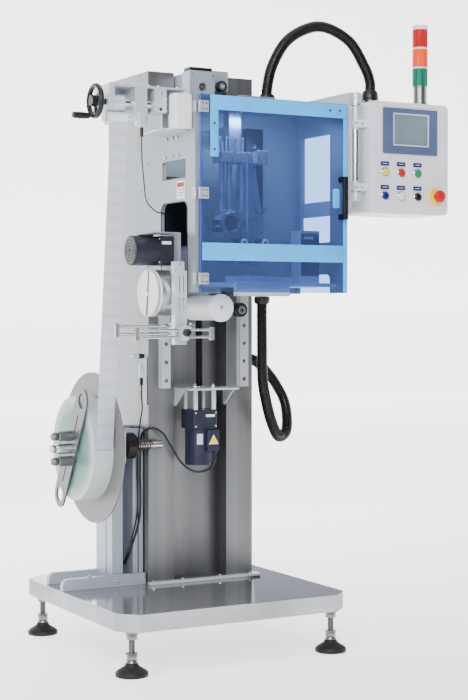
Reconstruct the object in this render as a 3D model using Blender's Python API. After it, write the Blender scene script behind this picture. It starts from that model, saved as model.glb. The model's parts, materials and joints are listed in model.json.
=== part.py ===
"""Shrink sleeve applicator on a pedestal: reel stand, lifting head, guard door and control box.

Metres, +Z up, +X to the operator's right, +Y away from the operator. All shapes are written in
the base's own frame, whose origin is the middle of the base on the floor. FRAME_SHIFT then
moves the whole machine so that the origin is under the middle of its bounding box.
"""

import math

import bmesh
import bpy
from mathutils import Matrix, Vector

# ---------------------------------------------------------------- driving sizes
FRAME_SHIFT = -0.1575
GAP = 0.0004                     # between pieces that touch

BASE_HALF = 0.400
BASE_CHAMFER = 0.053
BASE_TOP = 0.190
BASE_BOTTOM = 0.136
SHEET = 0.004
FOOT_INSET = 0.049
FOOT_PAD_R = 0.050
STUD_R = 0.010

COL_X0, COL_X1 = -0.100, 0.290
COL_Y0, COL_Y1 = 0.050, 0.360
COL_TOP = 1.870
RECESS_X0, RECESS_X1 = -0.006, 0.190
RECESS_DEPTH = 0.070
FLANGE_TOP = 0.199

RAIL_W = 0.032
RAIL_X = (-0.048, 0.245)
RAIL_Z0, RAIL_Z1 = 0.835, 1.790
RAIL_FACE_Y = 0.024

SCREW_X, SCREW_Y = 0.061, 0.0
SCREW_R = 0.012
SCREW_Z0, SCREW_Z1 = 0.842, 1.775
BRACKET_Z = 0.833

HEAD_Z0, HEAD_Z1 = 1.146, 1.749
HEAD_Y0 = -0.330
HEAD_BACK_Y = -0.032
PLATE_T = 0.012
LEFT_X = -0.126                  # outer face of the left side plate
RIGHT_X = 0.426                  # outer face of the right side plate

DOOR_Y0, DOOR_Y1 = -0.341, -0.3335
DOOR_X0, DOOR_X1 = -0.112, 0.419
DOOR_HINGE_X, DOOR_HINGE_Y = -0.118, -0.343
HINGE_Z = (1.187, 1.448, 1.711)

REEL_Y, REEL_Z = 0.030, 0.652
REEL_DISC_X = -0.310
REEL_DISC_R = 0.241
ROLL_R = 0.165
ROLL_CORE_R = 0.038
ROLL_X0 = -0.3755
ARM_TILT = 30.0

FEED_Y = -0.190                  # axis line of the feed motor and of its drum
MOTOR_Z = 1.2745
DRUM_Z = 1.1435
FEED_PLATE_X = -0.145

TOP_AXIS_Y, TOP_AXIS_Z = -0.250, 1.7165
WHEEL_X = -0.421
ROLLER_Y, ROLLER_Z = -0.2265, 1.672

POLE_X, POLE_Y = 0.466, -0.315
POLE_R = 0.012
BOX_X0, BOX_X1 = 0.503, 0.810
BOX_Y0, BOX_Y1 = -0.350, -0.180
BOX_Z0, BOX_Z1 = 1.405, 1.768
STACK_X, STACK_Y, STACK_R = 0.753, -0.270, 0.026
STACK_TOP = 2.042

BUTTON_R = 0.012
STOP_STEM_R = 0.008
BUTTONS = {                      # name: (x, z, stem radius, finish)
    "button_yellow": (0.5570, 1.5390, BUTTON_R, "yellow"),
    "button_red": (0.6205, 1.5390, BUTTON_R, "red"),
    "button_green": (0.6860, 1.5390, BUTTON_R, "green"),
    "button_blue": (0.5570, 1.4625, BUTTON_R, "blue"),
    "button_white": (0.6205, 1.4625, BUTTON_R, "white"),
    "button_black": (0.6860, 1.4625, BUTTON_R, "black"),
    "emergency_stop": (0.7590, 1.4655, STOP_STEM_R, "red"),
}
CONDUIT_R = 0.0185
CABLE_R = 0.0035

# ---------------------------------------------------------------- materials
FINISHES = {
    "stainless": ((0.50, 0.50, 0.51), 0.32, 1.0),
    "anodised": ((0.66, 0.70, 0.74), 0.42, 0.9),
    "steel": ((0.62, 0.63, 0.65), 0.25, 1.0),
    "chrome": ((0.80, 0.81, 0.83), 0.10, 1.0),
    "black": ((0.03, 0.03, 0.035), 0.50, 0.0),
    "rubber": ((0.02, 0.02, 0.02), 0.80, 0.0),
    "motor": ((0.05, 0.055, 0.09), 0.45, 0.2),
    "acrylic": ((0.10, 0.20, 0.55), 0.08, 0.0),
    "film": ((0.85, 0.92, 0.92), 0.30, 0.0),
    "white": ((0.85, 0.86, 0.87), 0.45, 0.0),
    "box_grey": ((0.72, 0.73, 0.76), 0.40, 0.0),
    "bezel": ((0.16, 0.24, 0.45), 0.45, 0.0),
    "yellow": ((0.85, 0.80, 0.30), 0.30, 0.0),
    "red": ((0.75, 0.06, 0.04), 0.30, 0.0),
    "green": ((0.02, 0.45, 0.28), 0.30, 0.0),
    "blue": ((0.03, 0.04, 0.40), 0.30, 0.0),
}

for old in list(bpy.data.objects):
    bpy.data.objects.remove(old, do_unlink=True)


def finish(name, kind):
    colour, rough, metal = FINISHES[kind]
    material = bpy.data.materials.new(name)
    material.use_nodes = True
    shader = material.node_tree.nodes["Principled BSDF"]
    shader.inputs["Base Color"].default_value = (*colour, 1.0)
    shader.inputs["Roughness"].default_value = rough
    shader.inputs["Metallic"].default_value = metal
    return material


# ---------------------------------------------------------------- bodies
def empty(name, parent, place):
    """An empty at place, given in the base's frame, on the axis of the joint it stands for."""
    item = bpy.data.objects.new(name, None)
    bpy.context.scene.collection.objects.link(item)
    item["place"] = place
    base = Vector(parent["place"]) if parent else Vector((0, 0, 0))
    item.location = Vector(place) - base
    item.parent = parent
    return item


machine = empty("machine", None, (0, 0, 0))
machine.location.x = FRAME_SHIFT
bodies = {"frame": machine}


def body(name, parent, place):
    bodies[name] = empty(name + "_axis", bodies[parent], place)


# ---------------------------------------------------------------- shape helpers
def shape(build):
    """A closed temporary object from a function that fills a bmesh."""
    mesh = bpy.data.meshes.new("shape")
    bm = bmesh.new()
    build(bm)
    bmesh.ops.recalc_face_normals(bm, faces=bm.faces)
    bm.to_mesh(mesh)
    bm.free()
    item = bpy.data.objects.new("shape", mesh)
    bpy.context.scene.collection.objects.link(item)
    return item


def prism(points, axis, low, high):
    """An outline pushed along an axis: the points lie in the other two axes, in x, y, z order."""

    def corner(p, depth):
        if axis == "x":
            return (depth, p[0], p[1])
        if axis == "y":
            return (p[0], depth, p[1])
        return (p[0], p[1], depth)

    def build(bm):
        ring = [bm.verts.new(corner(p, low)) for p in points]
        face = bm.faces.new(ring)
        pushed = bmesh.ops.extrude_face_region(bm, geom=[face])
        step = Vector(corner((0, 0), high - low))
        verts = [v for v in pushed["geom"] if isinstance(v, bmesh.types.BMVert)]
        bmesh.ops.translate(bm, verts=verts, vec=step)

    return shape(build)


def box(x0, x1, y0, y1, z0, z1):
    return prism([(x0, y0), (x1, y0), (x1, y1), (x0, y1)], "z", z0, z1)


def rounded(a0, a1, b0, b1, r, steps=3):
    """A rectangle outline with round corners."""
    points = []
    corners = ((a1 - r, b0 + r, -90), (a1 - r, b1 - r, 0), (a0 + r, b1 - r, 90), (a0 + r, b0 + r, 180))
    for ca, cb, start in corners:
        for i in range(steps + 1):
            t = math.radians(start + 90 * i / steps)
            points.append((ca + r * math.cos(t), cb + r * math.sin(t)))
    return points


def turned(axis, centre, profile, sides=24):
    """A turned piece: profile holds (radius, place along the axis) from one end to the other.

    A profile whose first and last radius are not 0 is closed on itself, as a ring."""
    ring_shape = profile[0][0] > 0
    others = [i for i in range(3) if "xyz"[i] != axis]
    along = "xyz".index(axis)

    def build(bm):
        rings = []
        for radius, place in profile:
            row = []
            for k in range(sides if radius > 0 else 1):
                t = 2 * math.pi * k / sides
                p = [0.0, 0.0, 0.0]
                p[along] = place
                p[others[0]] = centre[0] + radius * math.cos(t)
                p[others[1]] = centre[1] + radius * math.sin(t)
                row.append(bm.verts.new(p))
            rings.append(row)
        pairs = list(zip(rings, rings[1:]))
        if ring_shape:
            pairs.append((rings[-1], rings[0]))
        for a, b in pairs:
            for k in range(sides):
                n = (k + 1) % sides
                if len(a) == 1:
                    bm.faces.new((a[0], b[k], b[n]))
                elif len(b) == 1:
                    bm.faces.new((a[k], b[0], a[n]))
                else:
                    bm.faces.new((a[k], b[k], b[n], a[n]))

    return shape(build)


def rod(axis, centre, radius, low, high, sides=16):
    return turned(axis, centre, [(0, low), (radius, low), (radius, high), (0, high)], sides)


def tube(axis, centre, inner, outer, low, high, sides=24):
    return turned(axis, centre, [(inner, low), (outer, low), (outer, high), (inner, high)], sides)


def stadium(length, width, steps=6):
    """An outline with two round ends, along the second axis, centred on 0."""
    points = []
    r = width / 2
    for end, start in ((length / 2 - r, 0), (-length / 2 + r, 180)):
        for i in range(steps + 1):
            t = math.radians(start + 180 * i / steps)
            points.append((r * math.cos(t), end + r * math.sin(t)))
    return points


def placed(item, matrix):
    item.data.transform(matrix)
    return item


def combine(base, others, operation):
    for other in others:
        step = base.modifiers.new("step", "BOOLEAN")
        step.operation = operation
        step.solver = "EXACT"
        step.object = other
    graph = bpy.context.evaluated_depsgraph_get()
    graph.update()
    mesh = bpy.data.meshes.new_from_object(base.evaluated_get(graph))
    base.modifiers.clear()
    base.data = mesh
    for other in others:
        bpy.data.objects.remove(other, do_unlink=True)


def node(name, owner, kind, adds, cuts=(), smooth=True):
    """One piece: the first shape, joined to the others, less the cuts, on a body's empty."""
    item = adds[0]
    if len(adds) > 1:
        combine(item, adds[1:], "UNION")
    if cuts:
        combine(item, cuts, "DIFFERENCE")
    item.name = name
    item.data.name = name
    item.data.materials.clear()
    item.data.materials.append(finish(name, kind))
    if smooth:
        item.data.shade_smooth()
        item.data.set_sharp_from_angle(angle=math.radians(40))
    item.parent = bodies[owner]
    item.location = -Vector(bodies[owner]["place"])
    return item


def smooth_route(points, count):
    """count points on a smooth curve through the given ones."""
    pts = [Vector(p) for p in points]
    pts = [2 * pts[0] - pts[1]] + pts + [2 * pts[-1] - pts[-2]]
    spans = len(pts) - 3
    route = []
    for i in range(count):
        s = spans * i / (count - 1)
        k = min(int(s), spans - 1)
        t = s - k
        a, b, c, d = pts[k:k + 4]
        route.append(0.5 * (2 * b + (c - a) * t + (2 * a - 5 * b + 4 * c - d) * t * t
                            + (3 * b - a - 3 * c + d) * t ** 3))
    return route


def cable(name, owner, kind, points, radius, count, resolution=2):
    """A tube along a smooth route, with closed ends."""
    curve = bpy.data.curves.new(name, "CURVE")
    curve.dimensions = "3D"
    curve.bevel_depth = radius
    curve.bevel_resolution = resolution
    curve.use_fill_caps = True
    spline = curve.splines.new("POLY")
    route = smooth_route(points, count)
    spline.points.add(len(route) - 1)
    for point, place in zip(spline.points, route):
        point.co = (*place, 1.0)
    item = bpy.data.objects.new(name, curve)
    bpy.context.scene.collection.objects.link(item)
    curve.materials.append(finish(name, kind))
    item.parent = bodies[owner]
    item.location = -Vector(bodies[owner]["place"])
    return item


# ---------------------------------------------------------------- base and feet
def octagon(half, chamfer):
    a, b = half, half - chamfer
    return [(a, -b), (a, b), (b, a), (-b, a), (-a, b), (-a, -b), (-b, -a), (b, -a)]


def make_base():
    tray = prism(octagon(BASE_HALF, BASE_CHAMFER), "z", BASE_BOTTOM, BASE_TOP)
    under = prism(octagon(BASE_HALF - SHEET, 0.165), "z", BASE_BOTTOM - 0.01, BASE_TOP - SHEET)
    node("base_tray", "frame", "stainless", [tray], [under], smooth=False)
    profile = [(0, 0), (FOOT_PAD_R, 0), (FOOT_PAD_R, 0.010), (0.043, 0.018), (0.022, 0.031),
               (0.018, 0.038), (STUD_R, 0.038), (STUD_R, 0.048), (0.017, 0.048), (0.017, 0.066),
               (STUD_R, 0.066), (STUD_R, 0.108), (0.017, 0.108), (0.017, 0.128),
               (STUD_R, 0.128), (STUD_R, BASE_BOTTOM - GAP), (0, BASE_BOTTOM - GAP)]
    reach = BASE_HALF - FOOT_INSET
    names = ("front_left", "front_right", "rear_left", "rear_right")
    spots = ((-reach, -reach), (reach, -reach), (-reach, reach), (reach, reach))
    for name, spot in zip(names, spots):
        node("foot_" + name, "frame", "rubber", [turned("z", spot, profile, 12)])


# ---------------------------------------------------------------- column
def column_outline(t):
    """The C section, pulled in by t."""
    y_in = COL_Y0 + RECESS_DEPTH
    return [(COL_X0 + t, COL_Y0 + t), (RECESS_X0 - t, COL_Y0 + t), (RECESS_X0 - t, y_in + t),
            (RECESS_X1 + t, y_in + t), (RECESS_X1 + t, COL_Y0 + t), (COL_X1 - t, COL_Y0 + t),
            (COL_X1 - t, COL_Y1 - t), (COL_X0 + t, COL_Y1 - t)]


def make_column():
    flange = box(COL_X0 - 0.002, COL_X1 + 0.020, COL_Y0 - 0.022, COL_Y1 + 0.020,
                 BASE_TOP + GAP, FLANGE_TOP)
    shell = prism(column_outline(0), "z", FLANGE_TOP - 0.001, COL_TOP)
    inside = prism(column_outline(SHEET), "z", BASE_TOP - 0.01, COL_TOP - SHEET)
    node("column_shell", "frame", "stainless", [flange, shell], [inside], smooth=False)
    half = RAIL_W / 2
    waist = 0.004
    for name, x in zip(("rail_left", "rail_right"), RAIL_X):
        back, front = COL_Y0 - GAP, RAIL_FACE_Y
        outline = [(x - half, front), (x + half, front), (x + half, front + 0.008),
                   (x + half - waist, front + 0.013), (x + half, front + 0.018),
                   (x + half, back), (x - half, back), (x - half, front + 0.018),
                   (x - half + waist, front + 0.013), (x - half, front + 0.008)]
        node(name, "frame", "steel", [prism(outline, "z", RAIL_Z0, RAIL_Z1)], smooth=False)


def make_lift():
    plate = box(RECESS_X0, 0.180, -0.058, COL_Y0 - GAP, BRACKET_Z - 0.003, BRACKET_Z + 0.003)
    gussets = []
    for x in (RECESS_X0, 0.176):
        outline = [(-0.030, BRACKET_Z), (COL_Y0 - GAP, BRACKET_Z), (COL_Y0 - GAP, 0.776),
                   (0.040, 0.776)]
        gussets.append(prism(outline, "x", x, x + 0.004))
    posts = []
    for dx in (-0.033, 0.033):
        for dy in (-0.033, 0.033):
            posts.append(rod("z", (SCREW_X + dx, SCREW_Y + dy), 0.006, 0.7654, BRACKET_Z, 8))
    hole = rod("z", (SCREW_X, SCREW_Y), 0.0135, BRACKET_Z - 0.02, BRACKET_Z + 0.02, 16)
    node("motor_bracket", "frame", "steel", [plate] + gussets + posts, [hole])
    gear = prism(rounded(SCREW_X - 0.045, SCREW_X + 0.045, -0.045, 0.045, 0.006, 2), "z", 0.703, 0.765)
    shaft = rod("z", (SCREW_X, SCREW_Y), 0.008, 0.760, 0.829, 12)
    node("lift_gearbox", "frame", "motor", [gear, shaft])
    motor = rod("z", (SCREW_X - 0.004, SCREW_Y), 0.043, 0.584, 0.703 - GAP, 24)
    terminals = prism(rounded(0.062, 0.106, -0.058, -0.020, 0.004, 2), "z", 0.630, 0.699)
    node("lift_motor", "frame", "motor", [motor, terminals])


def make_screw():
    body("lead_screw", "frame", (SCREW_X, SCREW_Y, SCREW_Z0))
    profile = [(0, SCREW_Z0 - 0.012), (0.0085, SCREW_Z0 - 0.012), (0.0085, SCREW_Z0),
               (SCREW_R, SCREW_Z0), (SCREW_R, SCREW_Z1), (0.0085, SCREW_Z1),
               (0.0085, 1.800), (0, 1.800)]
    node("lead_screw", "lead_screw", "black", [turned("z", (SCREW_X, SCREW_Y), profile, 16)])


def make_screw_support():
    """The beam at the column's top that holds the lead screw's upper bearing."""
    beam = box(0.000, 0.114, -0.102, COL_Y0 + RECESS_DEPTH - GAP, 1.800, 1.862)
    nose = prism(rounded(-0.052, 0.038, 1.775, 1.850, 0.004, 2), "y", -0.150, -0.100)
    cap = prism(rounded(-0.048, 0.030, 1.846, 1.860, 0.004, 2), "y", -0.148, -0.104)
    roller = rod("y", (0.083, 1.812), 0.017, -0.118, -0.100, 16)
    bore = rod("z", (SCREW_X, SCREW_Y), 0.0095, 1.790, 1.815, 16)
    node("screw_support", "frame", "anodised", [beam, nose, cap, roller], [bore])


# ---------------------------------------------------------------- reel stand
def make_stand():
    x0, x1, y0, y1 = -0.2155, -0.104, 0.0855, 0.2115
    z0, z1 = BASE_TOP + GAP, 0.703
    outline = [(x0, y0), (x0 + 0.038, y0), (x0 + 0.038, y0 + 0.085), (x1 - 0.036, y0 + 0.085),
               (x1 - 0.036, y0), (x1, y0), (x1, y1), (x0, y1)]
    posts = prism(outline, "z", z0, z1)
    bearing = box(-0.2345, -0.2065, -0.004, y0 + 0.010, 0.600, 0.700)
    arm = box(-0.2300, -0.2110, 0.060, y0 + 0.010, 0.560, 0.610)
    cap = box(x0 + 0.034, x1 - 0.002, y0 + 0.002, y0 + 0.020, 0.676, 0.702)
    bore = rod("x", (REEL_Y, REEL_Z), 0.0132, -0.250, -0.190, 16)
    bars = []
    for y_low, y_high, left in ((0.0655, 0.0851, -0.398), (y1 - 0.002, y1 + 0.018, -0.386)):
        z_top = BASE_TOP + 0.038
        outline = [(left, z0), (-0.104, z0), (-0.104, z_top), (left + 0.018, z_top),
                   (left + 0.006, z_top - 0.006), (left, z_top - 0.018)]
        bars.append(prism(outline, "y", y_low, y_high))
    node("reel_stand", "frame", "anodised", [posts, bearing, arm, cap, bars[1]], [bore], smooth=False)
    node("foot_bar_front", "frame", "anodised", [bars[0]], smooth=False)


def make_reel():
    body("reel", "frame", (REEL_DISC_X, REEL_Y, REEL_Z))
    centre = (REEL_Y, REEL_Z)
    disc = [(0.0129, REEL_DISC_X), (REEL_DISC_R, REEL_DISC_X), (REEL_DISC_R, REEL_DISC_X + 0.004),
            (0.030, REEL_DISC_X + 0.004), (0.030, REEL_DISC_X + 0.030), (0.0129, REEL_DISC_X + 0.030)]
    node("reel_disc", "reel", "steel", [turned("x", centre, disc, 48)])
    roll = tube("x", centre, ROLL_CORE_R, ROLL_R, ROLL_X0, REEL_DISC_X - GAP, 48)
    node("film_roll", "reel", "film", [roll])
    profile = [(0, -0.456), (0.010, -0.456), (0.014, -0.448), (0.012, -0.436), (0.016, -0.430),
               (0.0165, -0.3862), (0.0125, -0.3862), (0.0125, -0.0975), (0.0135, -0.0975),
               (0.0135, -0.064), (0, -0.064)]
    node("reel_shaft", "reel", "chrome", [turned("x", centre, profile, 16)])
    arm = prism(stadium(0.442, 0.082), "x", -0.3855, -0.3800)
    hub = rod("x", (0, 0), 0.034, -0.3810, -0.3760 - GAP, 16)
    holes = [rod("x", (0, s * 0.178), 0.024, -0.40, -0.37, 16) for s in (-1, 1)]
    holes += [rod("x", (0, 0), 0.0129, -0.40, -0.37, 16)]
    holes += [box(-0.40, -0.37, -0.003, 0.003, s * 0.095 - 0.032, s * 0.095 + 0.032) for s in (-1, 1)]
    knobs = []
    for s in (-1, 1):
        outline = [(0, -0.450), (0.009, -0.450), (0.0135, -0.442), (0.0125, -0.432), (0.010, -0.430),
                   (0.0155, -0.424), (0.0165, -0.384), (0, -0.384)]
        knobs.append(turned("x", (0.020 * s, 0.034 * s), outline, 12))
    # The arm leans, its top towards the operator.
    tilt = Matrix.Rotation(math.radians(ARM_TILT), 4, "X")
    move = Matrix.Translation((0, REEL_Y, REEL_Z))
    placed(node("reel_arm", "reel", "steel", [arm, hub] + knobs, holes), move @ tilt)
    drum = [(0.0129, -0.2030), (0.040, -0.2030), (0.044, -0.198), (0.044, -0.170), (0.036, -0.1600),
            (0.0129, -0.1600)]
    node("brake_drum", "reel", "black", [turned("x", centre, drum, 24)])
    spring = tube("x", centre, 0.0129, 0.0165, -0.1596, -0.0985, 16)
    node("brake_spring", "reel", "steel", [spring])


def make_film():
    """The flat sleeve on its way from the roll up to the guide roller on the head."""
    t = 0.0012
    low, top = (-0.1380, 0.660), (-0.2502, 1.655)
    outline = [low, top, (top[0] - t, top[1]), (low[0] - t, low[1])]
    node("film_web", "frame", "film", [prism(outline, "x", -0.372, -0.314)], smooth=False)


# ---------------------------------------------------------------- lifting head
def make_head():
    body("head", "frame", (SCREW_X, SCREW_Y, 1.45))
    left = prism([(HEAD_Y0, HEAD_Z0), (0.073, HEAD_Z0), (0.073, 1.600), (0.044, 1.600),
                  (0.044, HEAD_Z1), (HEAD_Y0, HEAD_Z1)], "x", LEFT_X, LEFT_X + PLATE_T)
    small = prism([(-0.264, 1.500), (-0.109, 1.500), (-0.109, 1.556), (-0.264, 1.556)],
                  "x", LEFT_X - 0.02, LEFT_X + 0.03)
    large = prism(rounded(-0.279, -0.097, 1.192, 1.427, 0.028), "x", LEFT_X - 0.02, LEFT_X + 0.03)
    cover = prism(rounded(-0.186, LEFT_X + 0.001, -0.318, -0.275, 0.012), "z", 1.652, 1.748)
    node("head_left_plate", "head", "anodised", [left, cover], [small, large])
    inner = RIGHT_X - PLATE_T
    right = prism([(HEAD_Y0, HEAD_Z0), (0.050, HEAD_Z0), (0.050, HEAD_Z1), (HEAD_Y0, HEAD_Z1)],
                  "x", inner, RIGHT_X)
    window = prism(rounded(-0.244, -0.063, 1.313, 1.664, 0.004, 2), "x", inner - 0.02, RIGHT_X + 0.02)
    notch = prism([(-0.244, HEAD_Z0 - 0.02), (-0.043, HEAD_Z0 - 0.02), (-0.043, 1.208),
                   (-0.226, 1.208), (-0.239, 1.203), (-0.244, 1.190)], "x", inner - 0.02, RIGHT_X + 0.02)
    node("head_right_plate", "head", "anodised", [right], [window, notch])
    x0, x1 = LEFT_X + PLATE_T + GAP, inner - GAP
    back = box(x0, x1, HEAD_BACK_Y, HEAD_BACK_Y + 0.010, HEAD_Z0, HEAD_Z1)
    roof = box(x0, x1, -0.320, HEAD_BACK_Y + 0.005, HEAD_Z1 - 0.012, HEAD_Z1 - 0.002)
    deck = box(0.060, 0.187, -0.280, -0.110, HEAD_Z1 - 0.004, HEAD_Z1 + 0.014)
    trucks = []
    for x in RAIL_X:
        for z in (1.250, 1.600):
            low, high = z - 0.045, z + 0.045
            trucks.append(box(x - 0.030, x + 0.030, HEAD_BACK_Y + 0.005, RAIL_FACE_Y - GAP, low, high))
            trucks.append(box(x - 0.030, x - 0.0164, RAIL_FACE_Y - 0.002, 0.036, low, high))
            trucks.append(box(x + 0.0164, x + 0.030, RAIL_FACE_Y - 0.002, 0.036, low, high))
    nut = box(SCREW_X - 0.032, SCREW_X + 0.032, HEAD_BACK_Y + 0.005, 0.028, 1.40, 1.46)
    bore = rod("z", (SCREW_X, SCREW_Y), SCREW_R + GAP, 1.38, 1.48, 16)
    gland = rod("z", (0.2317, -0.150), 0.024, HEAD_Z1 - 0.006, HEAD_Z1 + 0.018, 16)
    lower_gland = rod("z", (0.266, -0.058), 0.024, HEAD_Z0 - 0.010, HEAD_Z0 + 0.018, 16)
    lower_plate = box(0.225, 0.310, -0.100, HEAD_BACK_Y + 0.005, HEAD_Z0 + 0.002, HEAD_Z0 + 0.014)
    hanger = [box(-0.060, 0.060, -0.069, -0.055, 1.060, HEAD_Z0 + 0.012),
              box(-0.060, 0.060, -0.069, HEAD_BACK_Y + 0.005, HEAD_Z0 + 0.004, HEAD_Z0 + 0.016),
              box(0.050, 0.165, -0.068, -0.060, 1.086, 1.098)]
    node("head_carriage", "head", "anodised",
         [back, roof, deck, nut, gland, lower_plate, lower_gland] + trucks + hanger, [bore])


def make_mandrel():
    """The unit inside the guard that opens the sleeve: a hanging beam, guide rods and a plate."""
    beam = box(0.030, 0.190, -0.214, -0.150, 1.560, 1.592)
    post = box(0.070, 0.112, -0.190, -0.150, 1.585, HEAD_Z1 - 0.0124)
    tie = box(0.080, 0.105, -0.160, HEAD_BACK_Y - GAP, 1.640, 1.680)
    clamp = box(0.150, 0.192, -0.226, -0.200, 1.556, 1.600)
    rods = [rod("z", (x, -0.185), 0.009, 1.400, 1.570, 12) for x in (0.045, 0.072, 0.118)]
    plate = box(0.020, 0.150, -0.200, -0.150, 1.385, 1.408)
    block = box(0.010, 0.110, -0.205, -0.150, 1.325, 1.390)
    ring = tube("y", (0.055, 1.366), 0.026, 0.035, -0.235, -0.204, 24)
    thin = rod("z", (0.122, -0.212), 0.003, 1.330, 1.558, 8)
    thin_foot = box(0.100, 0.126, -0.216, -0.190, 1.330, 1.340)
    outline = [(0.085, 1.235), (0.240, 1.235), (0.175, 1.600), (0.125, 1.600)]
    wedge = prism(outline, "y", -0.156, -0.148)
    node("mandrel_unit", "head", "steel",
         [beam, post, tie, clamp, plate, block, ring, thin_foot, thin, wedge] + rods)


def make_cutter():
    x0, x1 = LEFT_X + PLATE_T + GAP, RIGHT_X - PLATE_T - GAP
    deck = box(x0, x1, -0.285, HEAD_BACK_Y - GAP, 1.166, 1.178)
    ring = tube("z", (0.130, -0.180), 0.045, 0.062, 1.176, 1.200, 24)
    front = box(0.033, 0.226, -0.305, -0.285 + GAP, 1.135, 1.182)
    riser = box(0.010, 0.245, -0.284, -0.270, 1.176, 1.196)
    drive = box(0.275, 0.345, -0.290, -0.230, 1.176, 1.345)
    hole = rod("z", (0.130, -0.180), 0.045, 1.150, 1.190, 24)
    node("cutter_unit", "head", "anodised", [deck, ring, front, riser, drive], [hole])
    for name, x in (("pinch_roller_left", 0.104), ("pinch_roller_right", 0.180)):
        body(name, "head", (x, -0.205, 1.306))
        profile = [(0, -0.228), (0.014, -0.228), (0.014, -0.176), (0.005, -0.176), (0.005, -0.1575),
                   (0, -0.1575)]
        node(name, name, "rubber", [turned("y", (x, 1.306), profile, 16)])


def make_feed():
    """Motor, flanged drum and adjusting bars on the outside of the left side plate."""
    outline = [(-0.226, 1.080), (-0.150, 1.080), (-0.150, 1.330), (-0.262, 1.330), (-0.262, 1.190),
               (-0.226, 1.190)]
    plate = prism(outline, "x", FEED_PLATE_X - 0.005, FEED_PLATE_X + 0.005)
    ribs = [box(FEED_PLATE_X, LEFT_X - GAP, -0.164, -0.152, z, z + 0.020) for z in (1.155, 1.305)]
    cap = box(-0.225, FEED_PLATE_X, -0.245, -0.151, 1.327, 1.3315)
    bore = rod("x", (FEED_Y, DRUM_Z), 0.0086, -0.16, -0.12, 16)
    node("feed_plate", "head", "anodised", [plate, cap] + ribs, [bore])
    motor = rod("x", (FEED_Y, MOTOR_Z), 0.0455, -0.278, -0.192, 24)
    gear = prism(rounded(FEED_Y - 0.045, FEED_Y + 0.045, MOTOR_Z - 0.045, MOTOR_Z + 0.045, 0.006, 2),
                 "x", -0.194, FEED_PLATE_X - 0.005 - GAP)
    node("feed_motor", "head", "motor", [motor, gear])
    body("feed_drum", "head", (-0.190, FEED_Y, DRUM_Z))
    profile = [(0, -0.222), (0.070, -0.222), (0.073, -0.220), (0.073, -0.2165), (0.050, -0.2165),
               (0.050, -0.2060), (0.070, -0.2060), (0.072, -0.2040), (0.072, -0.154), (0.008, -0.154),
               (0.008, -0.130), (0, -0.130)]
    node("feed_drum", "feed_drum", "white", [turned("x", (FEED_Y, DRUM_Z), profile, 32)])
    slotted = box(-0.1685, -0.134, -0.290, -0.284, 0.985, 1.212)
    side = box(-0.1745, -0.1685 + GAP, -0.290, -0.2660, 0.985, 1.212)
    neck = box(-0.1745, -0.140, -0.2850, -0.2625, 1.195, 1.240)
    slots = [box(x - 0.002, x + 0.002, -0.30, -0.27, a, b)
             for x in (-0.158, -0.145) for a, b in ((1.090, 1.130), (1.142, 1.195))]
    slots.append(box(-0.1541, -0.1489, -0.30, -0.27, 0.996, 1.066))
    node("slotted_bracket", "head", "anodised", [slotted, side, neck], slots, smooth=False)
    body("film_guide", "head", (-0.1515, -0.272, 1.03))
    pieces = []
    pairs = ((-0.355, -0.086, -0.243, 1.042, 0.024), (-0.318, -0.050, -0.306, 1.030, 0.022))
    for x0, x1, y, z_top, pitch in pairs:
        low, high = z_top - pitch - 0.009, z_top + 0.009
        pieces += [rod("x", (y, z_top - i * pitch), 0.004, x0 + 0.006, x1 - 0.006, 8) for i in range(2)]
        pieces += [box(x, x + 0.012, y - 0.006, y + 0.006, low, high) for x in (x0, x1 - 0.012)]
        pieces.append(box(-0.1655, -0.138, y - 0.010, y + 0.010, low, high))
    pieces.append(rod("y", (-0.1515, 1.022), 0.0022, -0.300, -0.240, 8))
    pieces.append(rod("y", (-0.1515, 1.022), 0.011, -0.336, -0.314, 12))
    node("guide_bars", "film_guide", "steel", pieces)


def make_feed_roller():
    """The roller under the head, along Y, with a light rod to its small idler."""
    body("feed_roller", "head", (0.002, -0.17, 1.098))
    profile = [(0, -0.262), (0.0405, -0.262), (0.0435, -0.259), (0.0435, -0.253), (0.039, -0.250),
               (0.039, -0.070), (0, -0.070)]
    node("feed_roller", "feed_roller", "white", [turned("y", (0.002, 1.098), profile, 28)])
    body("idler", "head", (0.158, -0.10, 1.092))
    profile = [(0, -0.115), (0.020, -0.115), (0.024, -0.110), (0.017, -0.098), (0.024, -0.086),
               (0.020, -0.081), (0.006, -0.0806), (0.006, -0.069), (0, -0.069)]
    node("idler", "idler", "black", [turned("y", (0.158, 1.092), profile, 16)])


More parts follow.
